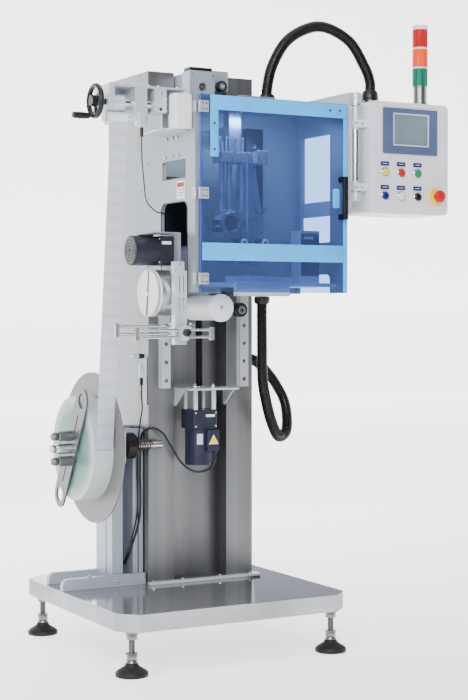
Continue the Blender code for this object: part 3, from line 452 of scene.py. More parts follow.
# Centre lines: along x (y, z), along y (x, z), upright (x, y).
REEL_AXIS = (0.03, 0.652)
DRUM_AXIS = (-0.19, 1.1435)
FEED_MOTOR_AXIS = (-0.19, 1.2745)
WHEEL_AXIS = (-0.25, 1.7165)
STOP_BUTTON = (0.759, 1.4655)
FEED_ROLLER_AXIS = (0.002, 1.098)
POLE = (0.466, -0.315)
BOX_GLAND = (0.5576, -0.262)
ROOF_GLAND = (0.2317, -0.15)
LOWER_GLAND = (0.266, -0.058)
SCREW_AXIS = (0.061, 0.0)


# ---------------------------------------------------------------- mesh helpers
def shift(obj):
    obj.data.transform(Matrix.Translation((BASE_X, 0, 0)))
    return obj


def add_object(name, mesh, material, body, smooth=True):
    obj = bpy.data.objects.new(name, mesh)
    bpy.context.scene.collection.objects.link(obj)
    mesh.materials.append(MAT[material])
    if smooth:
        mesh.shade_smooth()
        mesh.set_sharp_from_angle(angle=math.radians(38))
    if body:
        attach(obj, body)
    return shift(obj)


def placed(axis, point, depth):
    """A point of an outline across an axis, at a depth along it."""
    place = list(point)
    place.insert("xyz".index(axis), depth)
    return place


class Pieces:
    """Collects shapes of one material on one body into one mesh."""

    def __init__(self, name, material, body, slot=None):
        self.name, self.material, self.body, self.slot = name, material, body, slot or material
        self.bm = bmesh.new()

    def prism(self, points, axis, low, high, bevel=0.0):
        """An outline pushed along an axis, with its edges bevelled."""
        part = bmesh.new()
        face = part.faces.new([part.verts.new(placed(axis, p, low)) for p in points])
        pushed = bmesh.ops.extrude_face_region(part, geom=[face])
        verts = [v for v in pushed["geom"] if isinstance(v, bmesh.types.BMVert)]
        bmesh.ops.translate(part, verts=verts, vec=Vector(placed(axis, (0, 0), high - low)))
        bmesh.ops.recalc_face_normals(part, faces=part.faces)
        if bevel:
            edges = [e for e in part.edges if e.calc_face_angle(0) > 0.6]
            bmesh.ops.bevel(part, geom=edges, offset=bevel, segments=2, profile=0.5, affect="EDGES",
                            clamp_overlap=True)
        return self.take(part)

    def box(self, x0, x1, y0, y1, z0, z1, bevel=0.0):
        return self.prism([(x0, y0), (x1, y0), (x1, y1), (x0, y1)], "z", z0, z1, bevel)

    def turned(self, axis, centre, profile, sides=32):
        """A turned shape from (radius, place) pairs. Ends off the axis close on each other."""
        others = [i for i in range(3) if "xyz"[i] != axis]
        length = "xyz".index(axis)
        part = bmesh.new()
        rings = []
        for radius, place in profile:
            row = []
            for k in range(sides if radius > 0 else 1):
                t = 2 * math.pi * k / sides
                p = [0.0, 0.0, 0.0]
                p[length] = place
                p[others[0]] = centre[0] + radius * math.cos(t)
                p[others[1]] = centre[1] + radius * math.sin(t)
                row.append(part.verts.new(p))
            rings.append(row)
        pairs = list(zip(rings, rings[1:]))
        if profile[0][0] > 0:
            pairs.append((rings[-1], rings[0]))
        for a, b in pairs:
            for k in range(sides):
                n = (k + 1) % sides
                if len(a) == 1:
                    part.faces.new((a[0], b[k], b[n]))
                elif len(b) == 1:
                    part.faces.new((a[k], b[0], a[n]))
                else:
                    part.faces.new((a[k], b[k], b[n], a[n]))
        bmesh.ops.recalc_face_normals(part, faces=part.faces)
        return self.take(part)

    def rod(self, axis, centre, radius, low, high, sides=24, bevel=0.0):
        step = min(bevel, radius * 0.5)
        if bevel:
            profile = [(0, low), (radius - step, low), (radius, low + step), (radius, high - step),
                       (radius - step, high), (0, high)]
        else:
            profile = [(0, low), (radius, low), (radius, high), (0, high)]
        return self.turned(axis, centre, profile, sides)

    def ring(self, axis, centre, inner, outer, low, high, sides=32):
        return self.turned(axis, centre, [(inner, low), (outer, low), (outer, high), (inner, high)], sides)

    def border(self, axis, outer, inner, low, high):
        """A flat rim between two outlines with the same number of points."""
        part = bmesh.new()
        loops = []
        for depth in (low, high):
            for outline in (outer, inner):
                loops.append([part.verts.new(placed(axis, p, depth)) for p in outline])
        for a, b in ((0, 1), (1, 3), (3, 2), (2, 0)):
            for k in range(len(outer)):
                n = (k + 1) % len(outer)
                part.faces.new((loops[a][k], loops[a][n], loops[b][n], loops[b][k]))
        bmesh.ops.recalc_face_normals(part, faces=part.faces)
        return self.take(part)

    def hex(self, axis, centre, radius, low, high):
        points = [(centre[0] + radius * math.cos(math.radians(60 * k + 30)),
                   centre[1] + radius * math.sin(math.radians(60 * k + 30))) for k in range(6)]
        return self.prism(points, axis, low, high, radius * 0.08)

    def socket_screw(self, axis, centre, radius, face, out):
        """A cap screw's head on a face: a turned head with a socket, pointing out."""
        high = face + out * radius * 1.05
        well = face + out * radius * 0.45
        return self.turned(axis, centre, [(0, well), (radius * 0.46, well), (radius * 0.5, high),
                                          (radius * 0.86, high), (radius, high - out * radius * 0.15),
                                          (radius, face), (0, face)], 20)

    def tube_along(self, route, radius, sides=12, ribs=None):
        """A tube along a list of points; ribs gives a second radius for every other ring."""
        part = bmesh.new()
        rings = []
        up = Vector((0, 0, 1))
        for i, point in enumerate(route):
            ahead = route[min(i + 1, len(route) - 1)] - route[max(i - 1, 0)]
            ahead.normalize()
            side = ahead.cross(up)
            if side.length < 0.2:
                side = ahead.cross(Vector((0, 1, 0)))
            side.normalize()
            up = side.cross(ahead).normalized()
            r = ribs[i % len(ribs)] if ribs else radius
            rings.append([part.verts.new(point + side * r * math.cos(2 * math.pi * k / sides) + up * r
                                         * math.sin(2 * math.pi * k / sides)) for k in range(sides)])
        for a, b in zip(rings, rings[1:]):
            for k in range(sides):
                n = (k + 1) % sides
                part.faces.new((a[k], a[n], b[n], b[k]))
        part.faces.new(rings[0])
        part.faces.new(rings[-1])
        bmesh.ops.recalc_face_normals(part, faces=part.faces)
        return self.take(part)

    def take(self, part):
        mesh = bpy.data.meshes.new("part")
        part.to_mesh(mesh)
        part.free()
        self.bm.from_mesh(mesh)
        bpy.data.meshes.remove(mesh)
        return self

    def done(self, *replaced, smooth=True):
        mesh = bpy.data.meshes.new(self.name)
        self.bm.to_mesh(mesh)
        self.bm.free()
        obj = add_object(self.name, mesh, self.material, self.body, smooth)
        if replaced:
            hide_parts(*replaced)
        return obj


def smooth_route(points, count):
    """count points, evenly spaced, on a smooth curve through the given ones."""
    pts = [Vector(p) for p in points]
    pts = [2 * pts[0] - pts[1]] + pts + [2 * pts[-1] - pts[-2]]
    fine = []
    for k in range(len(pts) - 3):
        a, b, c, d = pts[k:k + 4]
        for i in range(40):
            t = i / 40
            fine.append(0.5 * (2 * b + (c - a) * t + (2 * a - 5 * b + 4 * c - d) * t * t
                               + (3 * b - a - 3 * c + d) * t ** 3))
    fine.append(pts[-2])
    run = [0.0]
    for a, b in zip(fine, fine[1:]):
        run.append(run[-1] + (b - a).length)
    route = []
    k = 0
    for i in range(count):
        s = run[-1] * i / (count - 1)
        while k < len(run) - 2 and run[k + 1] < s:
            k += 1
        share = (s - run[k]) / max(run[k + 1] - run[k], 1e-9)
        route.append(fine[k].lerp(fine[k + 1], min(max(share, 0.0), 1.0)))
    return route, run[-1]


def rounded(a0, a1, b0, b1, r, steps=5):
    """A rectangle outline with round corners."""
    points = []
    corners = ((a1 - r, b0 + r, -90), (a1 - r, b1 - r, 0), (a0 + r, b1 - r, 90), (a0 + r, b0 + r, 180))
    for ca, cb, start in corners:
        for i in range(steps + 1):
            t = math.radians(start + 90 * i / steps)
            points.append((ca + r * math.cos(t), cb + r * math.sin(t)))
    return points


# ---------------------------------------------------------------- conduits and cables
CONDUIT_R = 0.0185
CABLE_R = 0.0035
RIB_PITCH = 0.0046

CONDUIT_TOP = [(0.2317, -0.15, 1.7695), (0.2317, -0.15, 1.81), (0.25, -0.1565, 1.89),
               (0.302, -0.174, 1.975), (0.395, -0.205, 2.017), (0.488, -0.237, 1.975), (0.54, -0.256, 1.89),
               (0.5576, -0.262, 1.84), (0.5576, -0.262, 1.8025)]
CONDUIT_SIDE = [(0.266, -0.058, 1.1345), (0.266, -0.058, 1.06), (0.268, -0.056, 0.96),
                (0.273, -0.05, 0.865), (0.292, -0.04, 0.791), (0.3245, -0.022, 0.715),
                (0.367, 0.004, 0.6645), (0.413, 0.034, 0.6745), (0.433, 0.058, 0.72), (0.434, 0.08, 0.781),
                (0.409, 0.098, 0.84), (0.3775, 0.106, 0.8815), (0.342, 0.106, 0.913), (0.312, 0.106, 0.925),
                (0.2915, 0.106, 0.925)]
MOTOR_CABLE = [(0.098, -0.038, 0.6285), (0.098, -0.04, 0.6), (0.082, -0.03, 0.57), (0.045, 0.0, 0.56),
               (0.005, 0.02, 0.59), (-0.03, 0.026, 0.645), (-0.062, 0.026, 0.69), (-0.095, 0.034, 0.706),
               (-0.118, 0.058, 0.69), (-0.1215, 0.066, 0.64), (-0.1215, 0.07, 0.56), (-0.1215, 0.072, 0.42),
               (-0.146, 0.08, 0.32), (-0.158, 0.112, 0.256)]


def add_conduit(name, points, node):
    """A corrugated conduit, its ribs spaced along its real length."""
    _, length = smooth_route(points, 200)
    count = int(length / (RIB_PITCH / 4)) + 1
    route, _ = smooth_route(points, count)
    pieces = Pieces(name, "cable_black", None)
    pieces.tube_along(route, CONDUIT_R, 20, (CONDUIT_R, CONDUIT_R, CONDUIT_R - 0.0022, CONDUIT_R - 0.0022))
    obj = pieces.done(node)
    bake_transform(obj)


def add_lead(name, points, count, radius, sides, body, stiffness, *replaced):
    """A thin cable that stays on one body."""
    route, length = smooth_route(points, count)
    lead = Pieces(name, "cable_black", body)
    lead.tube_along(route, radius, sides)
    lead.done(*replaced)


def add_cables():
    add_conduit("upper_conduit", CONDUIT_TOP, "conduit_top")
    add_conduit("lower_conduit", CONDUIT_SIDE, "conduit_side")
    add_lead("motor_lead", MOTOR_CABLE, 160, CABLE_R, 12, "frame", "medium", "motor_cable")


# ---------------------------------------------------------------- base and feet
def add_feet():
    reach = 0.351
    for name, sx, sy in (("front_left", -1, -1), ("front_right", 1, -1), ("rear_left", -1, 1),
                         ("rear_right", 1, 1)):
        x, y = sx * reach, sy * reach
        Pieces("pad_" + name, "foot_rubber", "frame").turned(
            "z", (x, y), [(0, 0), (0.048, 0), (0.05, 0.002), (0.05, 0.01), (0.049, 0.0125), (0.043, 0.018),
                          (0.03, 0.0255), (0.022, 0.031), (0.019, 0.038), (0, 0.038)],
                          48).done("foot_" + name)
        stud = Pieces("stud_" + name, "stud_steel", "frame", "ground_steel")
        steps = [(0, 0.036)]
        for i in range(50):
            z = 0.038 + i * 0.0019
            steps += [(0.0086, z), (0.0098, z + 0.00095)]
        stud.turned("z", (x, y), steps + [(0, 0.1345)], 20)
        stud.turned("z", (x, y), [(0, 0.037), (0.0165, 0.038), (0.0175, 0.041), (0.015, 0.047), (0, 0.048)],
                    24)
        for low, high in ((0.049, 0.065), (0.109, 0.126)):
            stud.hex("z", (x, y), 0.0168, low, high)
        stud.rod("z", (x, y), 0.0195, 0.066, 0.0685, 24)
        stud.rod("z", (x, y), 0.02, 0.1265, 0.134, 24)
        stud.done()


def add_base_details():
    bolts = Pieces("base_bolts", "ground_steel", "frame")
    for x in (-0.37, -0.3, -0.235):
        bolts.socket_screw("z", (x, 0.0753), 0.0052, TRAY_TOP + 0.0385 if x > -0.36 else TRAY_TOP + 0.03, 1)
    for x, y in ((-0.088, 0.0385), (0.02, 0.0385), (0.16, 0.0385), (0.278, 0.0385), (0.302, 0.12),
                 (0.302, 0.3)):
        bolts.hex("z", (x, y), 0.007, 0.1992, 0.205)
    bolts.done()
    rim = Pieces("tray_seams", "tray_sheet", "frame")
    for sx in (-1, 1):
        for sy in (-1, 1):
            for x, y in ((0.3998, 0.347), (0.347, 0.3998)):
                rim.tube_along([Vector((sx * x, sy * y, z)) for z in (0.138, 0.189)], 0.001, 6)
    rim.done()


# ---------------------------------------------------------------- column, rails and lift
def add_rails():
    for side, x in (("left", -0.048), ("right", 0.245)):
        # Thin dark discs put in the rail's holes: painted shade. The chrome rims and pins around them are
        # real.
        holes = Pieces("rail_hole_shade_" + side, "dark_inside", "frame", "black_plastic")
        rims = Pieces("rail_rims_" + side, "chrome_parts", "frame")
        z = 0.86
        while z < 1.78:
            holes.rod("y", (x, z), 0.0056, 0.0236, 0.0239, 20)
            rims.ring("y", (x, z), 0.0056, 0.0068, 0.0234, 0.0239, 20)
            rims.rod("y", (x, z), 0.003, 0.0232, 0.0236, 6)
            z += 0.06
        holes.done()
        rims.done()


def add_lead_screw():
    """A trapezoid thread, as a fine helix of rings, on the screw's own body."""
    pieces = Pieces("thread_screw", "black_steel", "lead_screw")
    low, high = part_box("lead_screw")
    z0, z1 = 0.842, 1.775
    pitch = 0.006
    part = bmesh.new()
    sides = 24
    rows = int((z1 - z0 - 0.002) / pitch * 4)
    rings = []
    for i in range(rows + 1):
        row = []
        for k in range(sides):
            t = 2 * math.pi * k / sides
            z = z0 + 0.001 + i * pitch / 4
            wave = ((i / 4 - k / sides) % 1.0)
            r = 0.0118 if wave < 0.42 else (0.0096 if 0.5 <= wave < 0.92 else 0.0107)
            row.append(part.verts.new((0.061 + r * math.cos(t), r * math.sin(t), z)))
        rings.append(row)
    for a, b in zip(rings, rings[1:]):
        for k in range(sides):
            n = (k + 1) % sides
            part.faces.new((a[k], a[n], b[n], b[k]))
    part.faces.new(rings[0])
    part.faces.new(rings[-1])
    bmesh.ops.recalc_face_normals(part, faces=part.faces)
    pieces.take(part)
    for a, b in ((low.z, z0 + 0.002), (z1 - 0.002, high.z)):
        pieces.rod("z", SCREW_AXIS, 0.0085, a, b, 24, 0.0006)
    pieces.done("lead_screw")


def add_lift_details():
    nuts = Pieces("lift_fasteners", "chrome_parts", "frame")
    for x, y in ((0.028, -0.033), (0.094, -0.033)):
        nuts.hex("z", (x, y), 0.0085, 0.8362, 0.8432)
        nuts.turned("z", (x, y), [(0, 0.8432), (0.005, 0.8432), (0.0045, 0.85), (0, 0.851)], 16)
    for x in (-0.001, 0.131, 0.168):
        nuts.socket_screw("z", (x, -0.045), 0.0042, 0.8362, 1)
    nuts.ring("z", SCREW_AXIS, 0.0088, 0.0185, 0.8362, 0.8415, 24)
    nuts.done()
    posts = Pieces("lift_posts", "anodised_plate", "frame")
    for x in (0.0245, 0.0915):
        posts.box(x - 0.007, x + 0.007, -0.0478, -0.04, 0.7662, 0.8295, 0.0008)
    posts.done()
    Pieces("gearbox_seam", "dark_slot", "frame", "motor_paint").prism(
        rounded(0.0157, 0.1063, -0.0453, 0.0453, 0.0063), "z", 0.7226, 0.724).done()
    ribs = Pieces("lift_motor_rings", "motor_paint", "frame")
    for z in (0.592, 0.604, 0.69):
        ribs.ring("z", (0.057, 0.0), 0.0428, 0.044, z, z + 0.006, 48)
    ribs.rod("z", (0.098, -0.038), 0.0072, 0.6185, 0.6298, 20, 0.001)
    ribs.done()
    screws = Pieces("lift_motor_screws", "chrome_parts", "frame")
    for x, z in ((0.0245, 0.756), (0.0975, 0.756), (0.0245, 0.712), (0.0975, 0.712)):
        screws.socket_screw("y", (x, z), 0.0034, -0.0451, -1)
    screws.done()
    Pieces("gearbox_label", "label_white", "frame", "white_plastic").box(
        0.062, 0.095, -0.0457, -0.0451, 0.742, 0.75).done()
    Pieces("motor_plate", "label_silver", "frame", "white_plastic").box(
        0.03, 0.052, -0.0445, -0.0425, 0.652, 0.687, 0.0004).done()
    Pieces("motor_sign", "label_yellow", "frame", "white_plastic").prism(
        [(0.066, 0.653), (0.102, 0.653), (0.084, 0.685)], "y", -0.059, -0.0582).done()
    Pieces("motor_sign_mark", "dark_inside", "frame", "black_plastic").box(
        0.0832, 0.0848, -0.0594, -0.059, 0.66, 0.674).done()


def add_column_details():
    seams = Pieces("column_bolts", "ground_steel", "frame")
    for z in (0.42, 0.9, 1.38, 1.8):
        for y in (0.11, 0.3):
            seams.hex("x", (y, z), 0.0075, 0.2903, 0.2955)
    for x in (-0.044, 0.03):
        seams.socket_screw("y", (x, 1.838), 0.004, -0.1502, -1)
    seams.done()
    ring = Pieces("support_ring", "chrome_parts", "frame")
    ring.ring("y", (-0.006, 1.8), 0.01, 0.014, -0.1512, -0.15, 32)
    ring.rod("y", (-0.006, 1.8), 0.006, -0.1506, -0.15, 24)
    ring.ring("y", (0.083, 1.812), 0.007, 0.013, -0.1196, -0.1182, 32)
    ring.done()
    cap = Pieces("support_cap", "black_plastic", "frame")
    cap.prism(rounded(-0.049, 0.031, -0.149, -0.103, 0.003), "z", 1.8504, 1.8612, 0.0015)
    cap.ring("y", (-0.006, 1.8), 0.006, 0.01, -0.1504, -0.1498, 32)
    cap.turned("y", (0.083, 1.812), [(0.013, -0.12), (0.0175, -0.1195), (0.0175, -0.101), (0.013, -0.101)],
               32)
    cap.done()
    Pieces("column_foot_edge", "rail_steel", "frame", "ground_steel").box(
        -0.1022, 0.3102, 0.0272, 0.0496, 0.1905, 0.1996, 0.0006).done()
    Pieces("column_gland", "black_plastic", "frame").turned(
        "x", (0.106, 0.925), [(0.019, 0.2904), (0.0255, 0.2904), (0.0255, 0.3), (0.0225, 0.308),
                              (0.019, 0.308)], 32).done()
    Pieces("column_rear_cover", "stainless_sheet", "frame").prism(
        rounded(-0.06, 0.25, 0.33, 1.06, 0.008), "y", 0.3603, 0.3625, 0.0006).done()
    # Thin dark strips on the rear cover stand in for louvre openings: painted shade.
    louvres = Pieces("column_louvre_shade", "dark_slot", "frame", "black_plastic")
    for i in range(8):
        z = 0.9 + i * 0.016
        louvres.prism(rounded(0.03, 0.16, z, z + 0.005, 0.0024, 3), "y", 0.3625, 0.3629)
    louvres.done()
    screws = Pieces("column_cover_screws", "chrome_parts", "frame")
    for x in (-0.048, 0.238):
        for z in (0.345, 0.695, 1.045):
            screws.socket_screw("y", (x, z), 0.0042, 0.3626, 1)
    screws.done()


# ---------------------------------------------------------------- reel
def add_reel_details():
    spring = Pieces("brake_coil", "spring_steel", "reel", "chrome_parts")
    route = []
    turns, steps = 6.5, 24
    for i in range(int(turns * steps) + 1):
        t = 2 * math.pi * i / steps
        x = -0.1578 + (0.0575 * i) / (turns * steps)
        route.append(Vector((x, REEL_AXIS[0] + 0.0147 * math.cos(t), REEL_AXIS[1] + 0.0147 * math.sin(t))))
    spring.tube_along(route, 0.0019, 8)
    spring.done("brake_spring")
    # Thin dark strips on the stand's extrusions stand in for their slots: painted shade.
    slots = Pieces("stand_slot_shade", "dark_slot", "frame", "black_plastic")
    slots.box(-0.1235, -0.1195, 0.0849, 0.0853, 0.196, 0.672)
    slots.box(-0.2159, -0.2152, 0.13, 0.1345, 0.196, 0.7)
    for y in (0.105, 0.148, 0.19):
        slots.box(-0.1043, -0.1036, y - 0.0045, y + 0.0045, 0.196, 0.7)
    for x in (-0.1965, -0.16, -0.122):
        slots.box(x - 0.0045, x + 0.0045, 0.2112, 0.2118, 0.232, 0.7)
    slots.done()
    caps = Pieces("stand_caps", "black_plastic", "frame")
    caps.prism(rounded(-0.2145, -0.179, 0.0865, 0.2105, 0.002), "z", 0.7032, 0.706, 0.0008)
    caps.prism(rounded(-0.139, -0.105, 0.1075, 0.2105, 0.002), "z", 0.7032, 0.706, 0.0008)
    caps.done()
    bolts = Pieces("stand_bolts", "chrome_parts", "frame")
    for y, z in ((0.02, 0.612), (0.02, 0.69), (0.075, 0.612)):
        bolts.socket_screw("x", (y, z), 0.0045, -0.2347, -1)
    for x in (-0.205, -0.1135):
        bolts.socket_screw("y", (x, 0.2095), 0.005, 0.0653, -1)
    bolts.done()
    Pieces("roll_core", "label_white", "reel", "white_plastic").ring(
        "x", REEL_AXIS, 0.0335, 0.0376, -0.3752, -0.311, 48).done()
    grooves = Pieces("knob_grooves", "black_steel", "reel")
    tilt = math.radians(30)
    for s in (-1, 0, 1):
        y0, z0 = 0.02 * s, 0.034 * s
        y = REEL_AXIS[0] + y0 * math.cos(tilt) - z0 * math.sin(tilt)
        z = REEL_AXIS[1] + y0 * math.sin(tilt) + z0 * math.cos(tilt)
        grooves.ring("x", (y, z), 0.0098, 0.0128, -0.4316, -0.4304, 24)
    grooves.done()


def add_photo_eye():
    """The loop sensor beside the reel, with its strip and lead, on the column."""
    Pieces("sensor_strip", "white_plastic", "frame").box(
        -0.1085, -0.1008, 0.06, 0.07, 0.78, 0.935, 0.0008).done()
    eye = Pieces("sensor_body", "anodised_plate", "frame")
    eye.box(-0.13, -0.115, 0.05, 0.062, 0.87, 0.916, 0.0015)
    eye.rod("x", (0.056, 0.941), 0.0065, -0.158, -0.104, 20, 0.0008)
    eye.rod("z", (-0.1225, 0.056), 0.0032, 0.914, 0.942, 12)
    eye.done()
    dark = Pieces("sensor_lens", "black_plastic", "frame")
    dark.rod("x", (0.056, 0.941), 0.008, -0.134, -0.114, 20, 0.001)
    dark.rod("z", (-0.1225, 0.056), 0.0055, 0.846, 0.8712, 16, 0.001)
    dark.done()
    points = [(-0.1225, 0.056, 0.848), (-0.1225, 0.056, 0.81), (-0.118, 0.06, 0.77), (-0.1195, 0.074, 0.72),
              (-0.1255, 0.078, 0.64), (-0.128, 0.0795, 0.56), (-0.1275, 0.079, 0.43), (-0.15, 0.0805, 0.33),
              (-0.164, 0.105, 0.262)]
    add_lead("sensor_lead", points, 120, 0.0024, 10, "frame", "limp")


# ---------------------------------------------------------------- film
def add_film():
    """The flat sleeve between the roll and the guide roller, slightly cupped across its width."""
    width = 0.058
    x_mid = -0.343
    low, top = Vector((-0.1386, 0.66)), Vector((-0.2508, 1.655))
    rows, columns = 90, 12
    half = 0.00018
    bm = bmesh.new()
    sheets = []
    for side in (-1, 1):
        grid = []
        for i in range(rows + 1):
            t = i / rows
            p = low.lerp(top, t)
            line = []
            for k in range(columns + 1):
                u = 2 * k / columns - 1
                cup = 0.00035 * math.sin(9 * t) * (1 - u * u)
                line.append(bm.verts.new((x_mid + u * width / 2, p.x + cup + side * half, p.y)))
            grid.append(line)
        sheets.append(grid)
    near, far = sheets
    for i in range(rows):
        for k in range(columns):
            bm.faces.new((near[i][k], near[i][k + 1], near[i + 1][k + 1], near[i + 1][k]))
            bm.faces.new((far[i][k], far[i + 1][k], far[i + 1][k + 1], far[i][k + 1]))
    for i in range(rows):
        bm.faces.new((near[i][0], near[i + 1][0], far[i + 1][0], far[i][0]))
        bm.faces.new((near[i][columns], far[i][columns], far[i + 1][columns], near[i + 1][columns]))
    for k in range(columns):
        bm.faces.new((near[0][k], far[0][k], far[0][k + 1], near[0][k + 1]))
        bm.faces.new((near[rows][k], near[rows][k + 1], far[rows][k + 1], far[rows][k]))
    bmesh.ops.recalc_face_normals(bm, faces=bm.faces)
    pieces = Pieces("sleeve_web", "film_flat", None)
    pieces.take(bm)
    obj = pieces.done("film_web")
    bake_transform(obj)


# ---------------------------------------------------------------- head
LEFT_FACE = -0.1262
RIGHT_FACE = 0.4262


def add_left_plate_details():
    bolts = Pieces("left_plate_bolts", "chrome_parts", "head")
    for z, ys in ((1.628, (-0.212, -0.18, -0.14)), (1.572, (-0.22, -0.175, -0.13))):
        for y in ys:
            bolts.socket_screw("x", (y, z), 0.0048, LEFT_FACE, -1)
    for z in (1.23, 1.34, 1.45, 1.56, 1.66):
        bolts.socket_screw("x", (0.0, z), 0.0036, LEFT_FACE, -1)
        bolts.socket_screw("x", (0.058, z - 0.08), 0.0036, LEFT_FACE, -1)
    for y in (-0.24, -0.15):
        for z in (1.16, 1.735):
            bolts.socket_screw("x", (y, z), 0.004, LEFT_FACE, -1)
    bolts.done()
    rim = Pieces("window_rims", "black_plastic", "head")
    for y0, y1, z0, z1, r in ((-0.265, -0.108, 1.499, 1.557, 0.002),
                              (-0.2805, -0.0955, 1.1905, 1.4285, 0.0295)):
        inner = rounded(y0 + 0.003, y1 - 0.003, z0 + 0.003, z1 - 0.003, max(r - 0.003, 0.001))
        rim.border("x", rounded(y0, y1, z0, z1, r), inner, -0.1268, -0.1254)
    rim.done()
    Pieces("notice_plate", "label_white", "head", "white_plastic").box(
        -0.1268, -0.1261, -0.262, -0.208, 1.436, 1.49).done()
    Pieces("notice_header", "label_red", "head", "white_plastic").box(
        -0.1272, -0.1267, -0.259, -0.211, 1.472, 1.486).done()
    lines = Pieces("notice_marks", "dark_slot", "head", "black_plastic")
    for i in range(3):
        z = 1.464 - i * 0.009
        lines.box(-0.1271, -0.1268, -0.257, -0.217 + 0.004 * i, z - 0.0012, z + 0.0012)
    lines.done()
    Pieces("cover_skin", "white_plastic", "head", "anodised_plate").prism(
        rounded(-0.19, -0.1256, -0.3192, -0.274, 0.012), "z", 1.644, 1.7487, 0.002).done()


def add_feed_details():
    grille = Pieces("fan_rings", "stud_steel", "head", "ground_steel")
    for r in (0.01, 0.019, 0.028, 0.037):
        grille.ring("x", FEED_MOTOR_AXIS, r, r + 0.0016, -0.2796, -0.2778, 40)
    for a in range(4):
        t = math.radians(45 + 90 * a)
        c, s = math.cos(t), math.sin(t)
        route = [Vector((-0.2788, FEED_MOTOR_AXIS[0] + r * c, FEED_MOTOR_AXIS[1] + r * s)) for r in (0.006,
            0.041)]
        grille.tube_along(route, 0.0013, 8)
    grille.done()
    body = Pieces("feed_motor_rings", "feed_motor_black", "head")
    for x in (-0.274, -0.244):
        body.ring("x", FEED_MOTOR_AXIS, 0.045, 0.0468, x, x + 0.004, 48)
    body.box(-0.25, -0.205, -0.206, -0.174, 1.3195, 1.3245, 0.002)
    body.done()
    Pieces("feed_motor_label", "label_white", "head", "white_plastic").box(
        -0.1915, -0.16, -0.2357, -0.235, 1.294, 1.303).done()
    screws = Pieces("feed_screws", "chrome_parts", "head")
    for y in (-0.226, -0.154):
        for z in (1.239, 1.31):
            screws.socket_screw("x", (y, z), 0.0034, -0.1942, -1)
    for z in (1.203, 1.232):
        screws.socket_screw("y", (-0.157, z), 0.004, -0.2853, -1)
    screws.done()
    Pieces("drum_hub", "chrome_parts", "feed_drum").turned(
        "x", DRUM_AXIS, [(0, -0.2245), (0.008, -0.2245), (0.01, -0.2235), (0.01, -0.2222), (0, -0.2222)],
        32).done()
    # A thin dark strip across the drum's face stands in for a slot: painted shade.
    Pieces("drum_face_slot_shade", "dark_slot", "feed_drum", "black_plastic").prism(
        [(-0.2075, 1.2125), (-0.2005, 1.2125), (-0.184, 1.0735), (-0.196, 1.0735)], "x", -0.2226,
        -0.2221).done()
    Pieces("drum_sleeve", "ground_steel", "feed_drum").turned(
        "x", DRUM_AXIS, [(0.0716, -0.2036), (0.0723, -0.203), (0.0723, -0.155), (0.0716, -0.1545)],
        64).done()
    Pieces("guide_knob", "black_plastic", "film_guide").turned(
        "y", (-0.1515, 1.022), [(0, -0.3395), (0.0075, -0.3395), (0.0098, -0.3375), (0.0114, -0.335),
                                (0.0114, -0.315), (0.009, -0.3135), (0, -0.3135)], 24).done()
    clamps = Pieces("guide_clamps", "anodised_plate", "film_guide")
    for x, y, z in ((-0.155, -0.243, 1.03), (-0.155, -0.306, 1.019)):
        clamps.box(x - 0.009, x + 0.014, y - 0.0108, y + 0.0108, z - 0.021, z + 0.021, 0.0012)
    clamps.done()
    rollers = Pieces("guide_bar_sleeves", "chrome_parts", "film_guide")
    for x0, x1, y, z_top, pitch in ((-0.34, -0.176, -0.243, 1.042, 0.024),
                                    (-0.302, -0.176, -0.306, 1.03, 0.022)):
        for i in range(2):
            rollers.rod("x", (y, z_top - i * pitch), 0.0049, x0, x1, 20, 0.0006)
    rollers.done()


def add_under_head_details():
    Pieces("feed_roller_disc", "white_plastic", "feed_roller").turned(
        "y", FEED_ROLLER_AXIS, [(0.007, -0.264), (0.04, -0.264), (0.0434, -0.2615), (0.0434, -0.26),
                                (0.007, -0.26)], 64).done()
    Pieces("feed_roller_pin", "chrome_parts", "feed_roller").turned(
        "y", FEED_ROLLER_AXIS, [(0, -0.2652), (0.0042, -0.2652), (0.006, -0.264), (0.0068, -0.262),
                                (0, -0.262)], 24).done()
    Pieces("idler_grooves", "chrome_parts", "idler").ring(
        "y", (0.158, 1.092), 0.006, 0.013, -0.1166, -0.1148, 32).done()
    link = Pieces("roller_link", "chrome_parts", "head")
    link.tube_along([Vector((0.048, -0.0645, 1.1015)), Vector((0.14, -0.0645, 1.1015))], 0.0032, 12)
    link.done()
    sensor = Pieces("under_sensor", "black_plastic", "head")
    sensor.box(0.085, 0.12, -0.135, -0.105, 1.142, 1.164, 0.002)
    sensor.rod("z", (0.102, -0.12), 0.006, 1.118, 1.143, 16, 0.001)
    sensor.done()


